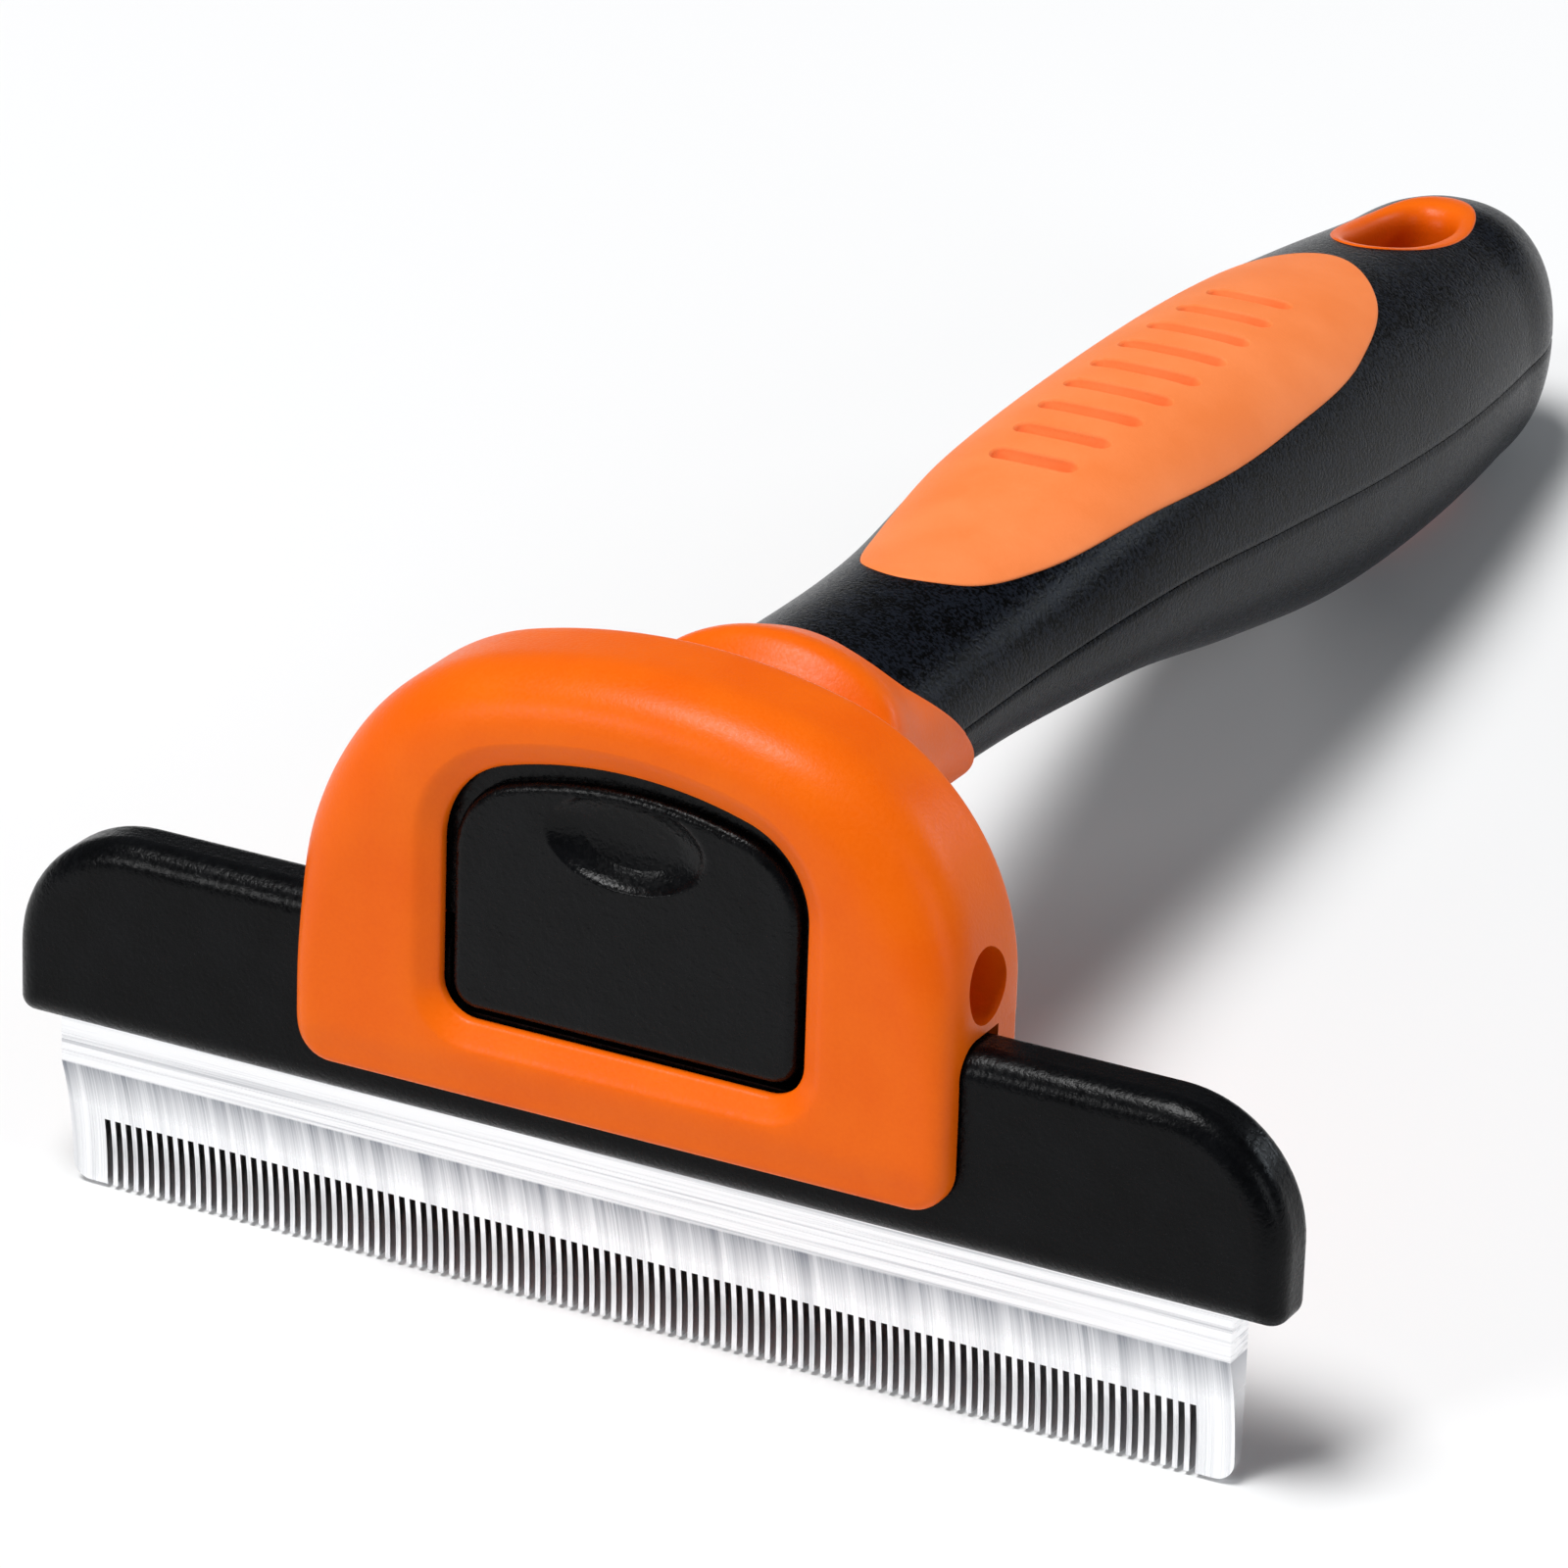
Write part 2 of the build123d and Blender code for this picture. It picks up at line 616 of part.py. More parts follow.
with BuildPart() as grip_inlay:
    add(grip.part)
    add(inlay_bed, mode=Mode.SUBTRACT)
    add(inlay_prism.part, mode=Mode.INTERSECT)
grip_inlay.part.label = "grip_inlay"
export_step(grip_inlay.part, "parts/grip_inlay.step")

with BuildPart() as eyelet_prism:
    with BuildSketch(level(0)):
        with Locations((0, EYELET_DEPTH)):
            Ellipse(EYELET_HALF_WIDTH, EYELET_HALF_LENGTH)
    extrude(amount=FAR)

with BuildPart() as hang_eyelet:
    add(grip.part)
    add(eyelet_prism.part, mode=Mode.INTERSECT)
    with BuildSketch(level(0)):
        with Locations((0, HANG_SLOT_DEPTH)):
            SlotOverall(HANG_SLOT_LENGTH, HANG_SLOT_WIDTH, rotation=90)
    extrude(amount=FAR, mode=Mode.SUBTRACT)
hang_eyelet.part.label = "hang_eyelet"
export_step(hang_eyelet.part, "parts/hang_eyelet.step")

# ---------------------------------------------------------------- handle shells on the core
with BuildPart() as above_seam:
    with BuildSketch(side(0)):
        with BuildLine():
            seam = [(row[0], row[3]) for row in GRIP_OVALS]
            Spline(*seam)
            last_depth, last_height = seam[-1]
            first_depth, first_height = seam[0]
            Polyline(
                (last_depth, last_height), (last_depth + SEAM_REACH, last_height),
                (last_depth + SEAM_REACH, FAR), (first_depth - SEAM_REACH, FAR),
                (first_depth - SEAM_REACH, first_height), (first_depth, first_height),
            )
        make_face()
    extrude(amount=FAR, both=True)

with BuildPart() as posts:
    with BuildSketch(level(0)):
        with Locations(*HANDLE_SCREW_PLACES):
            Circle(HANDLE_POST)
    extrude(amount=FAR)
    add(inlay_bed, mode=Mode.INTERSECT)

with BuildPart() as shells:
    add(grip.part)
    add(grip_cavity, mode=Mode.SUBTRACT)
    add(posts.part)
    add(behind_cut.part, mode=Mode.INTERSECT)
    add(
        block(facing(0), -CORE_HALF_WIDTH, CORE_FOOT, CORE_HALF_WIDTH, CORE_TOP, -CORE_END),
        mode=Mode.SUBTRACT,
    )
    add(eyelet_prism.part, mode=Mode.SUBTRACT)
    with BuildSketch(level(0)):
        with Locations(*HANDLE_SCREW_PLACES):
            Circle(HANDLE_SCREW_SHANK)
    extrude(amount=HANDLE_SHANK_TOP, mode=Mode.SUBTRACT)
    with BuildSketch(level(0)):
        with Locations(*HANDLE_SCREW_PLACES):
            Circle(HANDLE_HEAD_WELL)
    extrude(amount=HANDLE_HEAD_SEAT, mode=Mode.SUBTRACT)

with BuildPart() as handle_upper_shell:
    add(shells.part)
    add(above_seam.part, mode=Mode.INTERSECT)
    add(grip_inlay.part, mode=Mode.SUBTRACT)
handle_upper_shell.part.label = "handle_upper_shell"
export_step(handle_upper_shell.part, "parts/handle_upper_shell.step")

with BuildPart() as handle_lower_shell:
    add(shells.part)
    add(above_seam.part, mode=Mode.SUBTRACT)
handle_lower_shell.part.label = "handle_lower_shell"
export_step(handle_lower_shell.part, "parts/handle_lower_shell.step")

with BuildPart() as handle_core:
    add(
        block(
            facing(CORE_FLANGE_FRONT), -CORE_HALF_WIDTH, CORE_FOOT, CORE_HALF_WIDTH, CORE_TOP,
            CORE_FLANGE_FRONT - CORE_END,
        )
    )
    with BuildPart(mode=Mode.PRIVATE) as flange:
        with BuildSketch(facing(CORE_FLANGE_FRONT)):
            head_face(SIDE_WALL + PLATE_CLEARANCE)
        extrude(amount=CORE_FLANGE_FRONT - BACK_PLATE_FRONT)
        add(block(facing(0), -FAR, 0, FAR, CORE_FLANGE_FOOT, -FAR), mode=Mode.SUBTRACT)
    add(flange.part)
    with BuildSketch(facing(0)):
        with Locations(*HEAD_SCREW_PLACES):
            Circle(HEAD_SCREW_SHANK)
    extrude(amount=-BACK_PLATE_FRONT, mode=Mode.SUBTRACT)
    with BuildSketch(level(0)):
        with Locations(*HANDLE_SCREW_PLACES):
            Circle(HANDLE_SCREW_SHANK)
    extrude(amount=FAR, mode=Mode.SUBTRACT)
handle_core.part.label = "handle_core"
export_step(handle_core.part, "parts/handle_core.step")

with BuildPart() as handle_screws:
    with BuildSketch(level(HANDLE_HEAD_SEAT)):
        with Locations(*HANDLE_SCREW_PLACES):
            Circle(HANDLE_SCREW_SHANK)
    extrude(amount=HANDLE_SHANK_TOP - HANDLE_HEAD_SEAT - BORED_SHORT)
    with BuildSketch(level(HANDLE_HEAD_SEAT)):
        with Locations(*HANDLE_SCREW_PLACES):
            cross_head(HANDLE_SCREW_HEAD, HANDLE_SCREW_CROSS)
    extrude(amount=-HANDLE_HEAD_THICKNESS)
    with BuildSketch(level(HANDLE_HEAD_SEAT)):
        with Locations(*HANDLE_SCREW_PLACES):
            Circle(HANDLE_SCREW_HEAD)
    extrude(amount=-HANDLE_HEAD_THICKNESS / 2)
handle_screws.part.label = "handle_screws"
export_step(handle_screws.part, "parts/handle_screws.step")
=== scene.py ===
"""Looks of the deshedding tool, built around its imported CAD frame.

Shapes are drawn in millimetres in the tool's own axes: x across the blade, y back from the blade's
front face, z up the blade from its teeth. TOOL turns them into the row frame, in metres.
"""
import json

import bmesh
import bpy
import numpy as np
from mathutils import Matrix, Vector


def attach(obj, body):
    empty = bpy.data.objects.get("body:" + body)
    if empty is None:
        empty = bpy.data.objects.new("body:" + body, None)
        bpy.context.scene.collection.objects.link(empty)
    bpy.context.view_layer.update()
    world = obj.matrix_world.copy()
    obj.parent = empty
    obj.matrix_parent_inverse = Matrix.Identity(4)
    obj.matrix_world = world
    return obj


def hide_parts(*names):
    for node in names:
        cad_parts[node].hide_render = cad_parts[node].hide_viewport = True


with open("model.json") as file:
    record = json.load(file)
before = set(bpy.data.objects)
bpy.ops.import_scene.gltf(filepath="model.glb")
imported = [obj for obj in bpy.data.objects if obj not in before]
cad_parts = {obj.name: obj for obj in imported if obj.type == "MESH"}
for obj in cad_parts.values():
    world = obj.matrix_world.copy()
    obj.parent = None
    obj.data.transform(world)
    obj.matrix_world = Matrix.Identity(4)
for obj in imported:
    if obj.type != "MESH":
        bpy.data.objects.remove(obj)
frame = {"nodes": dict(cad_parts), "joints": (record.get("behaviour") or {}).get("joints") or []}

bpy.context.view_layer.update()

# ---------------------------------------------------------------- the tool's axes, from the joints
MM = 0.001
PIVOT_DEPTH = 3.0
PIVOT_HEIGHT = 34.8
joints = {joint["name"]: joint for joint in frame["joints"]}
UP = Vector(joints["head_release"]["axis"]).normalized()
ACROSS = Vector((1, 0, 0))
BACK = UP.cross(ACROSS)
PIVOT = Vector(joints["button_press"]["pos_m"])
ORIGIN = PIVOT - (BACK * PIVOT_DEPTH + UP * PIVOT_HEIGHT) * MM
TURN = Matrix((ACROSS, BACK, UP)).transposed()
TOOL = Matrix.Translation(ORIGIN) @ (TURN * MM).to_4x4()

# ---------------------------------------------------------------- sizes of the shapes drawn here (mm)
HEAD_FRONT = -3.2
HEAD_BACK = 8.4
HEAD = dict(half=28.4, foot=17.8, spring=33.5, shoulder=20.0, top=54.6, corner=3.4)
WINDOW = dict(half=15.7, foot=24.0, spring=38.5, shoulder=7.5, top=47.2, corner=3.0)
FRONT_WALL = 1.9
SIDE_WALL = 2.6
RIM_WIDTH = 2.1
RIM_DEPTH = 1.35
RIM_PROFILE = (
    (0.0, 1.0), (0.05, 0.86), (0.12, 0.76), (0.30, 0.58), (0.50, 0.38), (0.64, 0.24), (0.76, 0.13),
    (0.88, 0.05), (1.0, 0.0),
)
FOOT_ROLL = 0.36
FOOT_ROLL_TOP = 21.6
EDGE_SWELL = (24.0, 46.0)
EDGE_INWARDS = (0.9, 1.3, 5.0)
EDGE_DEPTH = (0.8, 1.2, 4.2)
EDGE_SHARE_OF_FACE = 0.92
EDGE_POWER = 2.35
SLOT_TOP = 31.1
CARRIER_EDGE = 2.5
BORE_RADIUS = 3.0
BORE_FLOOR = 22.3
PIN_BORE_RADIUS = 1.52
BLOCK_INNER = 16.9
BLOCK_TOP = 39.4
BLOCK_BACK = 6.4
BLADE_HOLLOW_TOP = 10.75
BLADE_HOLLOW_DEPTH = 1.75
BLADE_MIDDLE_DEPTH = 1.375
BLADE_SLOT_MIDDLE = 5.46
BLADE_SLOT_TOP = 5.85
BLADE_TOOTHED_HALF = 48.0
FAR = 40.0

BUTTON = dict(half=14.9, foot=24.8, spring=37.8, shoulder=6.7, top=45.7, corner=2.2)
FLANGE = dict(half=16.2, foot=32.0, spring=37.8, shoulder=8.0, top=47.6, corner=0.6)
BUTTON_FACE = -1.9
BUTTON_BACK = 0.8
FLANGE_FRONT = -0.7
DIMPLE_PLACE = (0.0, 41.5)
DIMPLE_HALF = (6.9, 3.9)
DIMPLE_DEPTH = 1.75
DIMPLE_POWER = 0.85
DIMPLE_RIM = (1.06, 0.90)
BUTTON_EDGE = 0.95
BUTTON_CENTRE = (0, 35.5)
BOSS_RADIUS = 2.3
BOSS_HALF = 12
WEB = ((0.5, 32.5), (PIVOT_DEPTH, 32.5), (PIVOT_DEPTH, 37.1), (0.5, 37.1))
NOSE = ((0.5, 26.3), (3.0, 26.6), (3.4, 27.3), (3.0, 28.0), (0.5, 28.3))
NOSE_HALF = 5

NECK_POWER = 2.0
GRIP_POWER = 2.3
NECK_END = 36.0
GRIP_START = 66.0
GRIP_OVALS = (
    (20.0, 10.6, 7.9, 40.7), (32.0, 10.5, 8.0, 40.5), (50.0, 10.4, 8.4, 40.4), (70.0, 11.9, 10.4, 40.9),
    (90.0, 12.8, 12.7, 39.6), (110.0, 13.1, 14.1, 38.1), (128.0, 12.6, 13.4, 37.2),
    (142.0, 11.3, 12.4, 36.8), (149.0, 10.4, 11.9, 36.8), (153.0, 8.8, 10.6, 36.9),
    (155.2, 6.4, 8.2, 37.0), (156.0, 3.4, 4.6, 37.0), (156.15, 0.4, 0.6, 37.0),
)
COLLAR_OVALS = (
    (8.4, 20.3, 8.0, 45.5), (9.6, 19.2, 8.1, 45.2), (14.0, 15.6, 8.3, 44.2), (21.0, 12.2, 8.5, 41.9),
    (30.0, 11.1, 8.5, 40.5), (50.0, 10.9, 8.8, 40.4),
)
COLLAR_VALLEY = (
    (0.0, 3.3), (7.6, 3.3), (9.0, 3.0), (10.0, 2.5), (10.9, 1.7), (11.7, 0.7), (12.4, -0.05), (13.2, -0.5),
    (14.1, -0.66), (15.6, -0.5), (17.1, -0.22), (18.6, -0.03), (19.4, 0.0),
)
CUT_PLACE = (27.3, 48.5)
CUT_SLOPE = 0.84
CUT_FROM_TOP = (-14, 0, 14, 25, 35, 45, 55, 65, 75, 90, 180)
CUT_DRAWN_IN = (1.1, 0.6, 1.1, 1.9, 2.3, 2.4, 2.0, 1.4, 0.8, 0.3, 0.0)
COLLAR_LIP = 0.45
COLLAR_SPLIT = 40.6
COLLAR_SIDE_SHARE = 0.16
COLLAR_LOWER_DRAWN_IN = 0.07
COLLAR_END_WALL = 2.4
CAVITY_END = 146.0
SHELL_WALL = 2.6
INLAY_POINTS = (
    (0.0, 42.0), (4.4, 44.5), (7.4, 53.0), (10.5, 75.0), (11.0, 92.0), (10.1, 108.0), (6.8, 118.0),
    (0.0, 123.4),
)
INLAY_DEPTH = 1.2
INLAY_PROUD = 0.12
GRIP_SLOT_COUNT = 9
GRIP_SLOT_START = 65.5
GRIP_SLOT_PITCH = 5.1
GRIP_SLOT_WIDTH = 0.95
GRIP_SLOT_DEPTH = 1.05
GRIP_SLOT_BEND = 0.035
GRIP_SLOT_REACH = (3.3, 1.6)
EYELET_CENTRE = 138.8
EYELET_HALF = (5.1, 10.8)
EYELET_PROFILE = (
    (0.05, 0.0), (0.18, 0.03), (0.34, 0.10), (0.50, 0.22), (0.64, 0.40), (0.76, 0.66), (0.86, 1.02),
    (0.93, 1.45), (0.98, 2.0), (1.0, 2.7), (1.0, 4.2),
)
EYELET_SEAT = 0.45
EYELET_CREST = 0.09
EYELET_LOWER_CREST = 0.02
HANG_SLOT_CENTRE = 138.3
HANG_SLOT_HALF = (3.3, 7.5)
HANG_SLOT_POWER = 2.6


# ---------------------------------------------------------------- mesh helpers
def mesh_object(name, points, faces, sharp=35.0):
    """A piece from points in the tool's axes. Edges sharper than an angle in degrees stay sharp."""
    mesh = bpy.data.meshes.new(name)
    mesh.from_pydata([TOOL @ Vector(p) for p in points], [], faces)
    piece = bpy.data.objects.new(name, mesh)
    bpy.context.scene.collection.objects.link(piece)
    tidy_normals(mesh, sharp)
    return piece


def tidy_normals(mesh, sharp):
    """Welds, turns the faces outwards and shades smooth up to the sharp angle."""
    weld = 2e-6
    shaped = bmesh.new()
    shaped.from_mesh(mesh)
    bmesh.ops.remove_doubles(shaped, verts=shaped.verts, dist=weld)
    bmesh.ops.dissolve_degenerate(shaped, edges=shaped.edges, dist=weld / 4)
    bmesh.ops.recalc_face_normals(shaped, faces=shaped.faces)
    limit = np.radians(sharp)
    for face in shaped.faces:
        face.smooth = True
    for edge in shaped.edges:
        edge.smooth = bool(len(edge.link_faces) == 2 and edge.calc_face_angle() < limit)
    shaped.to_mesh(mesh)
    shaped.free()


def baked(piece, sharp=35.0):
    """Applies the piece's modifiers to its mesh."""
    bpy.context.view_layer.update()
    graph = bpy.context.evaluated_depsgraph_get()
    mesh = bpy.data.meshes.new_from_object(piece.evaluated_get(graph))
    piece.modifiers.clear()
    piece.data = mesh
    tidy_normals(mesh, sharp)


def combine(piece, others, operation, sharp=35.0):
    """Exact boolean of the piece with other meshes, which are then removed."""
    for other in others:
        step = piece.modifiers.new("combine", "BOOLEAN")
        step.object = other
        step.operation = operation
        step.solver = "EXACT"
    baked(piece, sharp)
    for other in others:
        bpy.data.objects.remove(other)


def grid(rows, columns, wrap_rows=False, wrap_columns=False):
    """Quads over a grid of points stored row by row."""
    faces = []
    for i in range(rows if wrap_rows else rows - 1):
        for j in range(columns if wrap_columns else columns - 1):
            a = i * columns + j
            b = i * columns + (j + 1) % columns
            c = ((i + 1) % rows) * columns + (j + 1) % columns
            d = ((i + 1) % rows) * columns + j
            faces.append((a, b, c, d))
    return faces


def prism(name, outline, low, high, along):
    """Closed bar from a flat outline, from low to high along an axis: 0 across, 1 back, 2 up."""
    count = len(outline)
    points = []
    for level in (low, high):
        for first, second in outline:
            point = [first, second]
            point.insert(along, level)
            points.append(point)
    faces = grid(2, count, wrap_columns=True)
    faces += [tuple(range(count))[::-1], tuple(range(count, 2 * count))]
    return mesh_object(name, points, faces)


def circle(centre, radius, count=64):
    turns = 2 * np.pi * np.arange(count) / count
    return [(centre[0] + radius * np.cos(t), centre[1] + radius * np.sin(t)) for t in turns]


def smooth_step(value, low, high):
    share = np.clip((value - low) / (high - low), 0, 1)
    return share * share * (3 - 2 * share)


def finish_piece(piece, body, slot, material, *nodes):
    """Gives a new piece its material and body, and hides the CAD nodes that it stands for. The slot is not
    used.
    """
    piece.data.materials.clear()
    piece.data.materials.append(material)
    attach(piece, body)
    if nodes:
        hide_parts(*nodes)


# ---------------------------------------------------------------- outlines
def domed(half, foot, spring, shoulder, top, corner, counts=(18, 10, 26, 44, 22)):
    """Points and outward normals round a face with a flat foot, straight sides and a shallow crown."""
    centre = half - shoulder
    rise = top - spring
    crown = (centre**2 + rise**2 - shoulder**2) / (2 * (rise - shoulder))
    turn = np.arctan2(spring - top + crown, centre)
    foot_run, foot_arc, side_run, shoulder_arc, crown_arc = counts
    points, normals = [], []

    def run(start, end, normal, count):
        for share in np.arange(count) / count:
            points.append(np.add(start, share * np.subtract(end, start)))
            normals.append(normal)

    def arc(middle, radius, begin, end, count):
        for angle in begin + (end - begin) * np.arange(count) / count:
            normal = np.array((np.cos(angle), np.sin(angle)))
            points.append(np.add(middle, radius * normal))
            normals.append(normal)

    run((0, foot), (half - corner, foot), np.array((0.0, -1.0)), foot_run)
    arc((half - corner, foot + corner), corner, -np.pi / 2, 0, foot_arc)
    run((half, foot + corner), (half, spring), np.array((1.0, 0.0)), side_run)
    arc((centre, spring), shoulder, 0, turn, shoulder_arc)
    arc((0, top - crown), crown, turn, np.pi / 2, crown_arc)
    points.append(np.array((0.0, top)))
    normals.append(np.array((0.0, 1.0)))
    flip = np.array((-1.0, 1.0))
    points += [flip * p for p in points[-2:0:-1]]
    normals += [flip * n for n in normals[-2:0:-1]]
    return np.array(points), np.array(normals)


def quarter(count, power=2.0):
    """Shares (inwards, deep) of a rounded edge, from the flat face to the side."""
    angles = np.linspace(0, np.pi / 2, count)
    reach = (np.sin(angles) ** power + np.cos(angles) ** power) ** (-1 / power)
    return [(1 - s * r, 1 - c * r) for s, c, r in zip(np.sin(angles), np.cos(angles), reach)]


def catmull(knots, values, where):
    """Smooth curve through values at knots, read at where."""
    knots, values = np.asarray(knots, float), np.asarray(values, float)
    spans = np.diff(knots)
    slopes = np.diff(values) / spans
    tangents = np.empty_like(values)
    tangents[1:-1] = (slopes[:-1] * spans[1:] + slopes[1:] * spans[:-1]) / (spans[:-1] + spans[1:])
    tangents[0], tangents[-1] = slopes[0], slopes[-1]
    index = np.clip(np.searchsorted(knots, where) - 1, 0, len(spans) - 1)
    span = spans[index]
    t = (where - knots[index]) / span
    a, b = values[index], values[index + 1]
    m, n = tangents[index] * span, tangents[index + 1] * span
    return (
        (2 * t**3 - 3 * t**2 + 1) * a + (t**3 - 2 * t**2 + t) * m
        + (3 * t**2 - 2 * t**3) * b + (t**3 - t**2) * n
    )


def oval_power(depth):
    """How square the ovals are: plain ellipses at the neck, squarer along the grip."""
    return NECK_POWER + (GRIP_POWER - NECK_POWER) * smooth_step(depth, NECK_END, GRIP_START)


class Limb:
    """Smooth body through a row of ovals."""

    def __init__(self, ovals):
        self.rows = np.array(ovals)
        steps = np.linalg.norm(np.diff(self.rows[:, :3], axis=0), axis=1)
        self.knots = np.concatenate(([0], np.cumsum(steps)))

    def oval(self, depth):
        """Half width, half height and centre at a depth."""
        travel = np.linspace(0, self.knots[-1], 4000)
        depths = np.maximum.accumulate(catmull(self.knots, self.rows[:, 0], travel))
        where = np.interp(depth, depths, travel)
        return [catmull(self.knots, self.rows[:, k], where) for k in (1, 2, 3)]

    def point(self, depth, angle, shrink=0.0):
        """Point on the surface at an angle round the oval, drawn in by shrink."""
        width, height, centre = self.oval(depth)
        power = oval_power(depth)
        c, s = np.cos(angle), np.sin(angle)
        reach = (np.abs(c) ** power + np.abs(s) ** power) ** (-1 / power)
        x = (width - shrink) * c * reach
        z = centre + (height - shrink) * s * reach
        return np.stack((x, depth + 0 * x, z), -1)

    def top(self, x, depth, sign=1):
        """Height of the upper (or with sign -1 the lower) surface over a place."""
        width, height, centre = self.oval(depth)
        power = oval_power(depth)
        share = np.clip(np.abs(x) / width, 0, 0.9999)
        return centre + sign * height * (1 - share**power) ** (1 / power)


def boundary(limb, angles):
    """Depth of the slanted boundary between collar and grip, drawn in towards the head at the shoulders."""
    from_top = np.degrees(np.arccos(np.clip(np.sin(angles), -1, 1)))
    drawn_in = catmull(CUT_FROM_TOP, CUT_DRAWN_IN, from_top)
    depth = np.full(len(angles), CUT_PLACE[0])
    for _ in range(6):
        depth = CUT_PLACE[0] + CUT_SLOPE * (CUT_PLACE[1] - limb.point(depth, angles)[:, 2]) - drawn_in
    return depth


grip_limb = Limb(GRIP_OVALS)
collar_limb = Limb(COLLAR_OVALS)


# ---------------------------------------------------------------- materials
class Shader:
    """A node material with short calls for the nodes used here."""

    def __init__(self, name, colour, roughness, metallic=0.0, specular=0.5):
        self.material = bpy.data.materials.new(name)
        self.material.use_nodes = True
        self.nodes = self.material.node_tree.nodes
        self.links = self.material.node_tree.links
        self.base = self.nodes["Principled BSDF"]
        self.base.inputs["Base Color"].default_value = (*colour, 1)
        self.base.inputs["Roughness"].default_value = roughness
        self.base.inputs["Metallic"].default_value = metallic
        self.base.inputs["Specular IOR Level"].default_value = specular
        self.place = self.nodes.new("ShaderNodeTexCoord").outputs["Object"]

    def link(self, source, target):
        if isinstance(source, (int, float, tuple)):
            target.default_value = source
        else:
            self.links.new(source, target)

    def tool_place(self, scale=(1, 1, 1)):
        """Position in the tool's own axes, in millimetres times a scale."""
        turned = self.nodes.new("ShaderNodeMapping")
        turned.vector_type = "TEXTURE"
        turned.inputs["Location"].default_value = ORIGIN
        turned.inputs["Rotation"].default_value = TURN.to_euler()
        turned.inputs["Scale"].default_value = (MM, MM, MM)
        self.link(self.place, turned.inputs["Vector"])
        stretched = self.nodes.new("ShaderNodeVectorMath")
        stretched.operation = "MULTIPLY"
        stretched.inputs[1].default_value = scale
        self.link(turned.outputs[0], stretched.inputs[0])
        return stretched.outputs[0]

    def noise(self, scale, place=None, detail=2.0, rough=0.5):
        """Noise; scale is in lumps per millimetre."""
        node = self.nodes.new("ShaderNodeTexNoise")
        node.inputs["Scale"].default_value = scale
        node.inputs["Detail"].default_value = detail
        node.inputs["Roughness"].default_value = rough
        self.link(place or self.tool_place(), node.inputs["Vector"])
        return node.outputs["Fac"]

    def remap(self, value, low, high, to_low, to_high):
        node = self.nodes.new("ShaderNodeMapRange")
        node.inputs["From Min"].default_value = low
        node.inputs["From Max"].default_value = high
        node.inputs["To Min"].default_value = to_low
        node.inputs["To Max"].default_value = to_high
        self.link(value, node.inputs["Value"])
        return node.outputs["Result"]

    def maths(self, operation, first, second):
        node = self.nodes.new("ShaderNodeMath")
        node.operation = operation
        self.link(first, node.inputs[0])
        self.link(second, node.inputs[1])
        return node.outputs[0]

    def blended(self, first, share, second):
        """Sum of two values, with a share of the first and the rest of the second."""
        rest = self.maths("MULTIPLY", second, 1 - share)
        return self.maths("ADD", self.maths("MULTIPLY", first, share), rest)

    def mix(self, share, first, second):
        """Colour mix."""
        node = self.nodes.new("ShaderNodeMix")
        node.data_type = "RGBA"
        self.link(share, node.inputs["Factor"])
        self.link(first, node.inputs["A"])
        self.link(second, node.inputs["B"])
        return node.outputs["Result"]

    def bump(self, height, distance):
        """Bump of a height in metres."""
        node = self.nodes.new("ShaderNodeBump")
        node.inputs["Strength"].default_value = 1.0
        node.inputs["Distance"].default_value = distance
        self.link(height, node.inputs["Height"])
        self.link(node.outputs[0], self.base.inputs["Normal"])


def moulded(
    name, colour, deep, light, roughness, grain, grain_height, mottle=0.25, specular=0.5, bore=None,
    speckle=0.35,
):
    """Moulded plastic: grain, a slow change of colour, uneven gloss, and painted shade that darkens a bore
    between heights.

    Grain and mottle are in lumps per millimetre, and the grain's height is in millimetres.
    """
    shader = Shader(name, colour, roughness, specular=specular)
    slow = shader.noise(mottle, detail=3.0)
    fine = shader.noise(grain, detail=2.0, rough=0.6)
    mixed = shader.maths("ADD", slow, shader.maths("MULTIPLY", fine, speckle))
    shade = shader.remap(mixed, 0.28 + speckle / 2, 0.72 + speckle / 2, 0, 1)
    tint = shader.mix(shade, (*deep, 1), (*light, 1))
    # Painted shade: inside the bore, between the given heights, the tint is darkened to stand in for the
    # shade deep in a hole.
    if bore:
        split = shader.nodes.new("ShaderNodeSeparateXYZ")
        shader.link(shader.tool_place(), split.inputs[0])
        height = split.outputs["Z"]
        low, high, fade = bore
        above = shader.remap(height, low, low + fade, 0, 1)
        below = shader.remap(height, high, high - fade, 0, 1)
        inside = shader.maths("MULTIPLY", above, below)
        tint = shader.mix(inside, tint, (*(BORE_SHADE * c for c in deep), 1))
    shader.link(tint, shader.base.inputs["Base Color"])
    gloss = shader.remap(fine, 0.3, 0.7, roughness - 0.06, roughness + 0.08)
    shader.link(gloss, shader.base.inputs["Roughness"])
    shader.bump(fine, grain_height * MM)
    return shader.material


# How dark the painted shade inside a bore is, as a share of the deep tint.
BORE_SHADE = 0.85
ORANGE_TINTS = ((0.86, 0.13, 0.001), (0.83, 0.115, 0.0008), (0.88, 0.142, 0.002))
orange = moulded("moulded_orange", *ORANGE_TINTS, 0.36, 3.2, 0.024, mottle=0.12, specular=0.16)
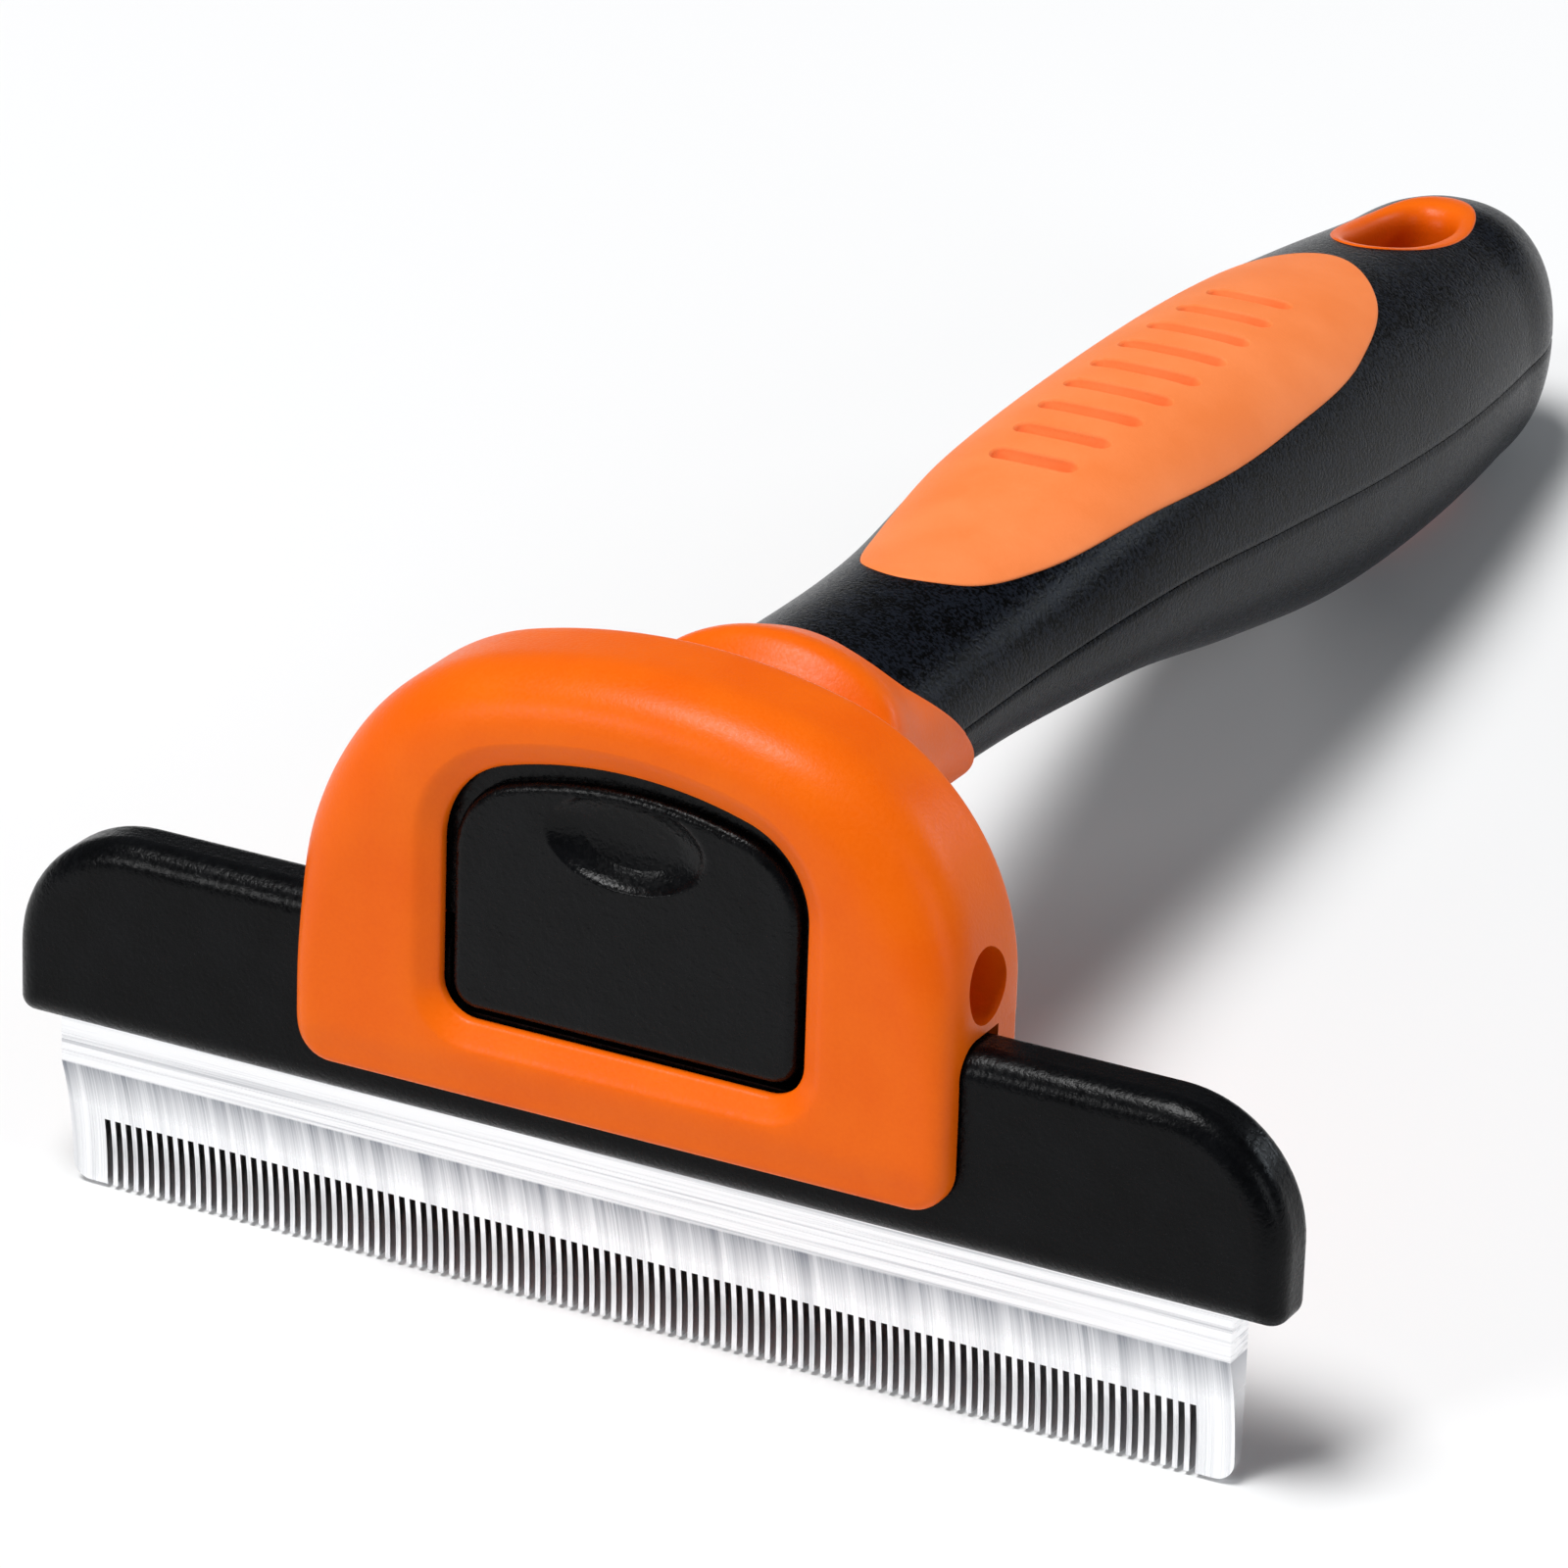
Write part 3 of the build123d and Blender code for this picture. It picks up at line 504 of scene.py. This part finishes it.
# Orange for the eyelet's lining, with painted shade inside its hole between the heights given in bore.
eyelet_orange_painted_shade = moulded(
    "eyelet_orange_painted_shade", *ORANGE_TINTS, 0.36, 3.2, 0.024, mottle=0.12, specular=0.16,
    bore=(25.5, 48.6, 1.6),
)
soft_orange = moulded(
    "soft_orange", (0.93, 0.242, 0.066), (0.90, 0.222, 0.054), (0.96, 0.265, 0.080), 0.52, 3.6, 0.020,
    mottle=0.15, specular=0.16,
)
satin_black = moulded(
    "satin_black", (0.0016, 0.0018, 0.0022), (0.0010, 0.0011, 0.0014), (0.0026, 0.0029, 0.0036),
    0.27, 2.2, 0.050, mottle=0.3, specular=0.11,
)
button_black = moulded(
    "button_black", (0.0020, 0.0022, 0.0026), (0.0012, 0.0013, 0.0016), (0.0030, 0.0033, 0.0040),
    0.26, 1.9, 0.065, mottle=0.3, specular=0.14,
)
grip_black = moulded(
    "grip_black", (0.002, 0.0024, 0.003), (0.0001, 0.0001, 0.0002), (0.0070, 0.0090, 0.0140),
    0.26, 2.9, 0.055, mottle=0.5, specular=0.065, speckle=2.6,
)
core_black = moulded(
    "core_black", (0.02, 0.02, 0.022), (0.016, 0.016, 0.018), (0.026, 0.026, 0.029), 0.5, 2.0, 0.02,
)


def brushed_blade():
    """Steel brushed along the spine and ground downwards across the hollow; painted reflection lightens the
    hollow downwards, and painted shade darkens the slot walls.
    """
    shader = Shader("brushed_blade", (0.8, 0.81, 0.83), 0.25, metallic=1.0)
    split = shader.nodes.new("ShaderNodeSeparateXYZ")
    shader.link(shader.tool_place(), split.inputs[0])
    across, depth, height = split.outputs
    along = shader.noise(1.0, shader.tool_place((0.012, 0.3, 2.6)), detail=3.0, rough=0.6)
    along_fine = shader.noise(1.0, shader.tool_place((0.05, 0.6, 12.0)), detail=2.0)
    down = shader.noise(1.0, shader.tool_place((0.7, 0.02, 0.01)), detail=3.0, rough=0.62)
    down_fine = shader.noise(1.0, shader.tool_place((7.0, 0.05, 0.02)), detail=2.0)
    strip = shader.blended(along, 0.7, along_fine)
    ground = shader.blended(down, 0.65, down_fine)
    strip_shade = shader.remap(strip, 0.36, 0.50, 0.52, 1.0)
    # Painted reflection: the hollow's tint lightens from its top edge down towards the slots, standing in for
    # the changing reflection on its concave face; the ground streaks are added on top.
    rise = shader.remap(height, BLADE_HOLLOW_TOP, BLADE_SLOT_TOP + 1.0, -0.05, 0.60)
    ground_streaks_and_painted_reflection = shader.maths("ADD", shader.remap(ground, 0.38, 0.60, 0.05, 0.50), rise)
    spine = shader.remap(height, BLADE_HOLLOW_TOP - 0.1, BLADE_HOLLOW_TOP + 0.1, 0, 1)
    blend = shader.nodes.new("ShaderNodeMix")
    blend.data_type = "FLOAT"
    shader.link(spine, blend.inputs["Factor"])
    shader.link(ground_streaks_and_painted_reflection, blend.inputs["A"])
    shader.link(strip_shade, blend.inputs["B"])
    shade = blend.outputs["Result"]
    tint = shader.mix(shade, (0.22, 0.235, 0.27, 1), (0.98, 0.985, 1.0, 1))

    # Painted shade: the slot walls between the teeth, behind the front face and before the back face, are
    # tinted near black, less so towards the tips, standing in for the shade inside the slots.
    low = shader.remap(height, 0.0, BLADE_SLOT_MIDDLE, BLADE_HOLLOW_DEPTH, BLADE_MIDDLE_DEPTH)
    behind_front = shader.maths("SUBTRACT", depth, low)
    behind = shader.remap(behind_front, 0.05, 0.28, 0, 1)
    before_back = shader.remap(depth, 2.93, 2.75, 0, 1)
    slot_wall_mask = shader.maths("MULTIPLY", behind, before_back)
    away = shader.maths("ABSOLUTE", across, 0.0)
    toothed = shader.remap(away, BLADE_TOOTHED_HALF, BLADE_TOOTHED_HALF - 0.1, 0, 1)
    below = shader.remap(height, BLADE_SLOT_TOP + 0.1, BLADE_SLOT_TOP, 0, 1)
    painted_slot_shade = shader.maths("MULTIPLY", shader.maths("MULTIPLY", slot_wall_mask, toothed), below)
    painted_slot_shade = shader.maths("MULTIPLY", painted_slot_shade, shader.remap(height, 0.4, 4.4, 0.45, 1.0))
    tint = shader.mix(painted_slot_shade, tint, (0.004, 0.004, 0.005, 1))
    shader.link(tint, shader.base.inputs["Base Color"])
    shader.link(shader.remap(shade, 0.2, 1.0, 0.40, 0.24), shader.base.inputs["Roughness"])
    shader.bump(shade, 0.010 * MM)
    return shader.material


def turned_steel(name, colour, roughness):
    """Plain machined steel with fine scratches."""
    shader = Shader(name, colour, roughness, metallic=1.0)
    scratch = shader.noise(1.0, shader.tool_place((6.0, 0.6, 6.0)), detail=4.0, rough=0.7)
    tint = shader.mix(scratch, tuple(0.72 * c for c in colour) + (1,), (*colour, 1))
    shader.link(tint, shader.base.inputs["Base Color"])
    gloss = shader.remap(scratch, 0.3, 0.7, roughness - 0.08, roughness + 0.1)
    shader.link(gloss, shader.base.inputs["Roughness"])
    shader.bump(scratch, 0.01 * MM)
    return shader.material


blade_steel = brushed_blade()
fastener_steel = turned_steel("fastener_steel", (0.62, 0.63, 0.65), 0.30)
spring_steel = turned_steel("spring_steel", (0.55, 0.56, 0.58), 0.26)

CAD_LOOKS = {
    "blade": blade_steel, "blade_screws": fastener_steel, "head_screws": fastener_steel,
    "handle_screws": fastener_steel, "button_pivot_pin": spring_steel,
    "button_spring_left": spring_steel, "button_spring_right": spring_steel,
    "carrier_front_cover": satin_black, "carrier_rear_cover": satin_black,
    "handle_core": core_black, "head_back_plate": orange,
}
for node, look in CAD_LOOKS.items():
    for place in frame["nodes"][node].material_slots:
        place.material = look


# ---------------------------------------------------------------- head housing
def head_housing():
    """The D-shaped ring: soft front edge that is fuller over the top, bevelled window, slot, bores."""
    outline, outward = domed(**HEAD)
    window, window_out = domed(**WINDOW)
    count = len(outline)
    full = smooth_step(outline[:, 1], *EDGE_SWELL)
    flank = smooth_step(outward[:, 1], -1.0, 0.0)
    room = np.linalg.norm(outline - window, axis=1) - RIM_WIDTH

    def edge(foot, side, top):
        return (foot + side * flank) + top * full

    inwards = np.minimum(edge(*EDGE_INWARDS), EDGE_SHARE_OF_FACE * room)
    deep = edge(*EDGE_DEPTH)
    rings = []

    def ring(flat, depth):
        roll = FOOT_ROLL * smooth_step(flat[:, 1], FOOT_ROLL_TOP, HEAD["foot"] + 0.4)
        fade = np.clip(1 - (depth - HEAD_FRONT) / (HEAD_BACK - HEAD_FRONT), 0, 1)
        rings.append(np.column_stack((flat[:, 0], depth + roll * fade, flat[:, 1])))

    ring(window, HEAD_FRONT + FRONT_WALL)
    for inward, share in RIM_PROFILE:
        ring(window + window_out * RIM_WIDTH * inward, HEAD_FRONT + RIM_DEPTH * share)
    inner = window + window_out * RIM_WIDTH
    outer = outline - outward * inwards[:, None]
    for share in np.linspace(0, 1, 9)[1:]:
        ring(inner + (outer - inner) * share, HEAD_FRONT)
    for inward, share in quarter(18, EDGE_POWER)[1:]:
        ring(outline - outward * (inwards * inward)[:, None], HEAD_FRONT + deep * share)
    back_edge = 0.7
    side_start = HEAD_FRONT + deep
    for share in np.linspace(0, 1, 6)[1:]:
        ring(outline, side_start + (HEAD_BACK - back_edge - side_start) * share)
    for inward, share in quarter(5)[::-1][1:]:
        ring(outline - outward * back_edge * inward, HEAD_BACK - back_edge * share)
    inside = outline - outward * SIDE_WALL
    ring(inside, HEAD_BACK)
    ring(inside, (HEAD_BACK + HEAD_FRONT + FRONT_WALL) / 2)
    ring(inside, HEAD_FRONT + FRONT_WALL)
    points = np.concatenate(rings)
    piece = mesh_object("head_shell", points, grid(len(rings), count, True, True))

    blocks = []
    for sign in (-1, 1):
        low, high = sorted((sign * BLOCK_INNER, sign * (HEAD["half"] - SIDE_WALL + 0.2)))
        near = HEAD_FRONT + FRONT_WALL - 0.1
        edges = ((near, SLOT_TOP), (BLOCK_BACK, SLOT_TOP), (BLOCK_BACK, BLOCK_TOP), (near, BLOCK_TOP))
        blocks.append(prism("pivot_block", edges, low, high, 0))
    combine(piece, blocks, "UNION")

    front = HEAD_FRONT + FRONT_WALL
    middle = np.array((front + CARRIER_EDGE, SLOT_TOP - CARRIER_EDGE))
    turns = np.linspace(np.pi, np.pi / 2, 9)
    corner = [tuple(middle + CARRIER_EDGE * np.array((np.cos(t), np.sin(t)))) for t in turns]
    past_back = HEAD_BACK + 2
    slot = [(front, 0), *corner, (past_back, SLOT_TOP), (past_back, 0)]
    cutters = [prism("slot_cutter", slot, -FAR, FAR, 0)]
    pivot = (PIVOT_DEPTH, PIVOT_HEIGHT)
    for sign in (-1, 1):
        low, high = sorted((sign * BORE_FLOOR, sign * FAR))
        cutters.append(prism("bore_cutter", circle(pivot, BORE_RADIUS), low, high, 0))
    cutters.append(prism("pin_cutter", circle(pivot, PIN_BORE_RADIUS, 32), -FAR, FAR, 0))
    combine(piece, cutters, "DIFFERENCE", 32)
    finish_piece(piece, "handle", "head_orange", orange, "head_housing")


# ---------------------------------------------------------------- release button
def disc(outline, outward, rings_down, centre, height):
    """Closed cap: side rings down from the face's edge, then the face in rings to its centre."""
    count = len(outline)
    rows = []
    for inset, depth in rings_down:
        flat = outline - outward * inset
        rows.append(np.column_stack((flat[:, 0], np.full(count, depth), flat[:, 1])))
    start = rows[-1]
    shares = np.linspace(0, 1, 62)[1:-1]
    middle = np.array((centre[0], 0, centre[1]))
    for share in shares:
        row = start + (middle - start) * share
        row[:, 1] = height(row[:, 0], row[:, 2])
        rows.append(row)
    points = np.concatenate(rows)
    faces = grid(len(rows), count, wrap_columns=True)
    tip = len(points)
    points = np.vstack((points, (centre[0], height(np.array(centre[0]), np.array(centre[1])), centre[1])))
    last = tip - count
    faces += [(last + j, last + (j + 1) % count, tip) for j in range(count)]
    faces.append(tuple(range(count))[::-1])
    return points, faces


def release_button():
    """The rocker: grained face with a soft-rimmed thumb hollow, flange, pivot boss and latch nose."""
    outline, outward = domed(**BUTTON, counts=(20, 8, 26, 24, 26))

    def face(x, z):
        place = np.hypot((x - DIMPLE_PLACE[0]) / DIMPLE_HALF[0], (z - DIMPLE_PLACE[1]) / DIMPLE_HALF[1])
        bowl = np.clip(1 - place**2, 0, None)
        soft = smooth_step(place, *DIMPLE_RIM)
        return BUTTON_FACE + DIMPLE_DEPTH * bowl**DIMPLE_POWER * soft

    down = [(0, BUTTON_BACK), (0, BUTTON_FACE + BUTTON_EDGE + 0.6)]
    down += [
        (BUTTON_EDGE * inward, BUTTON_FACE + BUTTON_EDGE * share) for inward, share in quarter(9, 2.2)[::-1]
    ]
    points, faces = disc(outline, outward, down, BUTTON_CENTRE, face)
    piece = mesh_object("release_button_cap", points, faces, 50)

    flange, flange_out = domed(**FLANGE, counts=(8, 4, 8, 24, 12))
    parts = [prism("flange", [tuple(p) for p in flange], FLANGE_FRONT, BUTTON_BACK, 1)]
    boss = circle((PIVOT_DEPTH, PIVOT_HEIGHT), BOSS_RADIUS, 48)
    parts.append(prism("boss", boss, -BOSS_HALF, BOSS_HALF, 0))
    parts.append(prism("web", WEB, -BOSS_HALF, BOSS_HALF, 0))
    parts.append(prism("nose", NOSE, -NOSE_HALF, NOSE_HALF, 0))
    combine(piece, parts, "UNION", 40)
    bore = prism("bore", circle((PIVOT_DEPTH, PIVOT_HEIGHT), 1.55, 32), -20, 20, 0)
    combine(piece, [bore], "DIFFERENCE", 40)
    finish_piece(piece, "button", "button_black", button_black, "release_button")


# ---------------------------------------------------------------- neck collar
def neck_collar():
    """Flared tube from the head to the grip, with a soft valley behind the head and a proud rear edge."""
    around = 240
    angles = 2 * np.pi * np.arange(around) / around
    end = boundary(collar_limb, angles)
    overhead = COLLAR_SIDE_SHARE + (1 - COLLAR_SIDE_SHARE) * smooth_step(np.sin(angles), 0.15, 0.75)
    sink_at, sink_by = np.array(COLLAR_VALLEY).T
    for name, sign, drawn_in in (("upper", 1, 0.0), ("lower", -1, COLLAR_LOWER_DRAWN_IN)):
        rows = []
        for share in np.linspace(0, 1, 70):
            behind = (end - COLLAR_LIP - HEAD_BACK) * share
            sunk = np.where(behind < sink_at[-1], catmull(sink_at, sink_by, behind), 0)
            rows.append(collar_limb.point(HEAD_BACK + behind, angles, drawn_in + sunk * overhead))
        for inward, share in quarter(6)[::-1][1:]:
            depth = end - COLLAR_LIP * share
            rows.append(collar_limb.point(depth, angles, drawn_in + COLLAR_LIP * inward))
        rows.append(collar_limb.point(end, angles, COLLAR_END_WALL))
        points = np.concatenate(rows)
        faces = grid(len(rows), around, wrap_columns=True)
        faces += [tuple(range(around))[::-1], tuple(range(len(points) - around, len(points)))]
        piece = mesh_object("collar_" + name, points, faces)
        low, high = sorted((COLLAR_SPLIT, COLLAR_SPLIT - sign * FAR))
        half = prism("half_cutter", ((-30, 0), (30, 0), (30, 60), (-30, 60)), low, high, 2)
        combine(piece, [half], "DIFFERENCE")
        finish_piece(piece, "handle", "head_orange", orange, "neck_collar_" + name)


# ---------------------------------------------------------------- grip shells, inlay and eyelet
def closed_spline(points, samples):
    """Smooth closed curve through points."""
    ring = np.array(points)
    count = len(ring)
    loop = np.concatenate((ring[-3:], ring, ring[:3]))
    steps = np.linalg.norm(np.diff(loop, axis=0), axis=1) ** 0.5
    knots = np.concatenate(([0], np.cumsum(steps)))
    where = np.linspace(knots[3], knots[3 + count], samples, endpoint=False)
    return np.column_stack([catmull(knots, loop[:, k], where) for k in (0, 1)])


def even(curve, samples):
    """The closed curve again, at even steps."""
    loop = np.vstack((curve, curve[:1]))
    travel = np.concatenate(([0], np.cumsum(np.linalg.norm(np.diff(loop, axis=0), axis=1))))
    where = np.linspace(0, travel[-1], samples, endpoint=False)
    return np.column_stack([np.interp(where, travel, loop[:, k]) for k in (0, 1)])


inlay_right = list(INLAY_POINTS)
inlay_left = [(-x, depth) for x, depth in inlay_right[-2:0:-1]]
INLAY_EVEN = even(closed_spline(inlay_right + inlay_left, 1600), 640)
INLAY_SPINE = np.column_stack((np.zeros(len(INLAY_EVEN)), np.clip(INLAY_EVEN[:, 1], 58, 110)))


def lifted(flat, lift):
    """Places of the grip's upper surface, moved along its normal by lift."""
    x, depth = flat[:, 0], flat[:, 1]
    step = 0.05
    slope_x = (grip_limb.top(x + step, depth) - grip_limb.top(x - step, depth)) / (2 * step)
    slope_y = (grip_limb.top(x, depth + step) - grip_limb.top(x, depth - step)) / (2 * step)
    normal = np.column_stack((-slope_x, -slope_y, np.ones(len(x))))
    normal /= np.linalg.norm(normal, axis=1)[:, None]
    amount = np.broadcast_to(lift, len(x))[:, None]
    return np.column_stack((x, depth, grip_limb.top(x, depth))) + normal * amount


def pad(name, outline, spine, edge, crown, bed, shares, sharp):
    """Closed pad on the grip: edge rows of (inset, lift), rows to the spine at the crown, then its bed."""
    run = spine - outline
    length = np.linalg.norm(run, axis=1)[:, None]
    rows = [lifted(outline + run * np.clip(inset / length, -1, 1), lift) for inset, lift in edge]
    start = outline + run * np.clip(edge[-1][0] / length, -1, 1)
    for share in np.linspace(0, 1, shares)[1:]:
        rows.append(lifted(start + (spine - start) * share, crown))
    top_rows = len(rows)
    for share in np.linspace(1, 0, 12):
        rows.append(lifted(outline + run * share, bed))
    around = len(outline)
    faces = grid(len(rows), around, wrap_rows=True, wrap_columns=True)
    bridge = (top_rows - 1) * around
    faces = [face for face in faces if not bridge <= face[0] < bridge + around]
    return mesh_object(name, np.concatenate(rows), faces, sharp)


def inlay_bed():
    """Cutter for the bed that the inlay lies in."""
    return pad("inlay_bed", INLAY_EVEN, INLAY_SPINE, [(-0.02, 2.0)], 2.0, -INLAY_DEPTH, 8, 40)


def grip_shells():
    """Two black shells with a fine groove at the seam and a bed under the inlay."""
    across = 96
    groove = 0.16
    gap = 0.035
    along_grip = np.linspace(0, 1, 150, endpoint=False)
    round_butt = 1 + np.sin(np.linspace(0, np.pi / 2, 60))
    stations = np.concatenate((along_grip, round_butt))
    butt_start = 140.0
    butt_end = GRIP_OVALS[-1][0]
    for name, sign in (("upper", 1), ("lower", -1)):
        turn = np.linspace(0, np.pi, across)
        angles = sign * turn
        start = boundary(grip_limb, angles) - 0.2
        rows = []
        for station in stations:
            if station < 1:
                depth = start + (butt_start - start) * station
            else:
                depth = np.full(across, butt_start + (butt_end - butt_start) * (station - 1))
            outer = grip_limb.point(depth, angles)
            centre = grip_limb.oval(depth)[2]
            into_groove = np.clip(groove - np.abs(outer[:, 2] - centre), 0, groove)
            dip = groove - np.sqrt(np.clip(groove**2 - into_groove**2, 0, None))
            outer[:, 0] -= np.sign(outer[:, 0]) * dip
            edge = (turn < 1e-6) | (turn > np.pi - 1e-6)
            outer[edge, 2] = centre[edge] + sign * gap
            if depth[0] < CAVITY_END:
                inner = grip_limb.point(depth, angles, SHELL_WALL)
                inner[edge, 2] = centre[edge] + sign * gap
            else:
                inner = np.column_stack((outer[0, 0] * np.cos(turn), depth, centre + sign * gap))
            rows.append(np.vstack((outer, inner[::-1])))
        points = np.concatenate(rows)
        around = 2 * across
        faces = grid(len(rows), around, wrap_columns=True)
        for base in (0, len(points) - around):
            for j in range(across - 1):
                faces.append((base + j, base + j + 1, base + around - 2 - j, base + around - 1 - j))
        piece = mesh_object("grip_" + name, points, faces, 40)
        wide, long = (half - EYELET_SEAT for half in EYELET_HALF)
        turns = 2 * np.pi * np.arange(96) / 96
        hole = [(wide * np.cos(t), EYELET_CENTRE + long * np.sin(t)) for t in turns]
        cutters = [prism("eyelet_cutter", hole, 0, 70, 2)]
        if sign > 0:
            cutters.append(inlay_bed())
        combine(piece, cutters, "DIFFERENCE", 40)
        finish_piece(piece, "handle", "grip_black", grip_black, "handle_" + name + "_shell")


def grip_slot(index):
    """Cutter for one recessed grip slot, bent round the pad's middle."""
    swell = np.sin(np.pi * (index + 1) / (GRIP_SLOT_COUNT + 1))
    straight = GRIP_SLOT_REACH[0] + GRIP_SLOT_REACH[1] * swell - GRIP_SLOT_WIDTH
    count = 48
    turns = 2 * np.pi * np.arange(count) / count
    side = np.sign(np.cos(turns)) * (np.abs(np.cos(turns)) > 1e-9)
    x = GRIP_SLOT_WIDTH * np.cos(turns) + side * straight
    flat = np.column_stack((x, GRIP_SLOT_WIDTH * np.sin(turns)))
    flat = np.vstack([flat, flat[:1]])
    steps = [np.linspace(flat[k], flat[k + 1], 5, endpoint=False) for k in range(count)]
    outline = np.concatenate(steps)
    spine = np.column_stack((np.clip(outline[:, 0], -straight, straight), 0 * outline[:, 0]))
    for line in (outline, spine):
        line[:, 1] += GRIP_SLOT_START + GRIP_SLOT_PITCH * index + GRIP_SLOT_BEND * line[:, 0] ** 2
    floor_edge = [(0.12, -GRIP_SLOT_DEPTH), (0.02, -GRIP_SLOT_DEPTH + 0.12)]
    edge = floor_edge + [(0.0, -0.1), (-0.06, 0.02), (-0.2, 0.2)]
    return pad("grip_slot", outline, spine, edge, 0.6, -GRIP_SLOT_DEPTH, 3, 40)


def grip_inlay():
    """Soft pad let into the upper shell, with a rounded edge and a row of recessed grip slots."""
    edge = [(0.0, -0.45), (0.0, -0.14), (0.02, -0.03), (0.08, 0.05), (0.17, 0.10), (0.32, INLAY_PROUD)]
    piece = pad("grip_inlay_pad", INLAY_EVEN, INLAY_SPINE, edge, INLAY_PROUD, -INLAY_DEPTH, 40, 60)
    combine(piece, [grip_slot(index) for index in range(GRIP_SLOT_COUNT)], "DIFFERENCE", 50)
    finish_piece(piece, "handle", "inlay_orange", soft_orange, "grip_inlay")


def hang_eyelet():
    """Lined hanging hole: funnel down to a slot through the handle, the same below."""
    around = 200
    turns = 2 * np.pi * np.arange(around) / around
    rim = np.column_stack((EYELET_HALF[0] * np.cos(turns), EYELET_CENTRE + EYELET_HALF[1] * np.sin(turns)))
    wide, long = HANG_SLOT_HALF
    power = HANG_SLOT_POWER
    reach = (np.abs(np.cos(turns)) ** power + np.abs(np.sin(turns)) ** power) ** (-1 / power)
    hole = np.column_stack((wide * np.cos(turns) * reach, HANG_SLOT_CENTRE + long * np.sin(turns) * reach))
    body = rim + (np.array((0, EYELET_CENTRE)) - rim) * (0.5 / np.hypot(*EYELET_HALF)) * 1.4
    rows = []
    for sign in (1, -1):
        side = []

        def add_row(flat, lift):
            height = grip_limb.top(flat[:, 0], flat[:, 1], sign) + sign * lift
            side.append(np.column_stack((flat, height)))

        add_row(body, -1.2)
        add_row(rim, -0.25)
        add_row(rim, 0.0)
        crest = EYELET_CREST if sign > 0 else EYELET_LOWER_CREST
        for share, sunk in EYELET_PROFILE:
            add_row(rim + (hole - rim) * share, crest - sunk)
        rows += side if sign > 0 else side[::-1]
    points = np.concatenate(rows)
    faces = grid(len(rows), around, wrap_rows=True, wrap_columns=True)
    piece = mesh_object("hang_eyelet_lining", points, faces, 50)
    # The lining's material carries painted shade inside the hole.
    finish_piece(piece, "handle", "head_orange", eyelet_orange_painted_shade, "hang_eyelet")


head_housing()
release_button()
neck_collar()
grip_shells()
grip_inlay()
hang_eyelet()


# ---------------------------------------------------------------- floor, light and camera
def floor():
    mesh = bpy.data.meshes.new("floor")
    reach, level = 3.0, -0.0002
    corners = [(-reach, -reach, level), (reach, -reach, level), (reach, reach, level), (-reach, reach, level)]
    mesh.from_pydata(corners, [], [(0, 1, 2, 3)])
    piece = bpy.data.objects.new("floor", mesh)
    bpy.context.scene.collection.objects.link(piece)
    shader = Shader("floor_paper", (0.86, 0.86, 0.86), 0.9, specular=0.1)
    mesh.materials.append(shader.material)


def area_light(name, place, target, size, power, colour=(1, 1, 1)):
    light = bpy.data.lights.new(name, "AREA")
    light.shape = "RECTANGLE"
    light.size, light.size_y = size
    light.energy = power
    light.color = colour
    lamp = bpy.data.objects.new(name, light)
    lamp.location = place
    lamp.rotation_mode = "QUATERNION"
    lamp.rotation_quaternion = (Vector(target) - Vector(place)).to_track_quat("-Z", "Y")
    bpy.context.scene.collection.objects.link(lamp)


def studio():
    world = bpy.data.worlds.new("studio")
    world.use_nodes = True
    sky = world.node_tree.nodes["Background"].inputs
    sky["Color"].default_value = (0.93, 0.96, 1.0, 1)
    sky["Strength"].default_value = 0.11
    bpy.context.scene.world = world
    middle = (0, 0, 0.03)
    area_light("key", (-0.46, -0.46, 2.56), middle, (0.98, 0.98), 68.0)
    area_light("back", (0.66, 0.76, 0.33), middle, (0.42, 0.16), 1.8, (0.84, 0.92, 1.0))
    area_light("side", (0.95, -0.30, 0.35), middle, (0.3, 0.5), 1.3, (0.92, 0.96, 1.0))
    area_light("front", (-0.52, -0.84, 0.50), middle, (0.25, 0.25), 2.2)
    bpy.context.scene.view_settings.view_transform = "Standard"


CAMERA_PLACE = (288.358, -536.255, 302.831)
CAMERA_AZIMUTH = 27.243
CAMERA_ELEVATION = 22.856
CAMERA_ROLL = 1.903
CAMERA_LENS = 202.5


def camera():
    """Camera placed in the tool's axes: azimuth round from the front, elevation, then roll."""
    azimuth, elevation, roll = np.radians((CAMERA_AZIMUTH, CAMERA_ELEVATION, CAMERA_ROLL))
    flat = np.cos(elevation)
    away = Vector((np.sin(azimuth) * flat, -np.cos(azimuth) * flat, np.sin(elevation)))
    level = Vector((np.cos(azimuth), np.sin(azimuth), 0))
    upright = away.cross(level)
    right = level * np.cos(roll) + upright * np.sin(roll)
    top = upright * np.cos(roll) - level * np.sin(roll)
    turn = TURN @ Matrix((right, top, away)).transposed()
    lens = bpy.data.cameras.new("camera")
    lens.sensor_width = 36.0
    lens.lens = CAMERA_LENS
    lens.clip_start = 0.01
    piece = bpy.data.objects.new("camera", lens)
    bpy.context.scene.collection.objects.link(piece)
    piece.matrix_world = Matrix.Translation(TOOL @ Vector(CAMERA_PLACE)) @ turn.to_4x4()
    bpy.context.scene.camera = piece


floor()
studio()
camera()

bpy.context.view_layer.update()
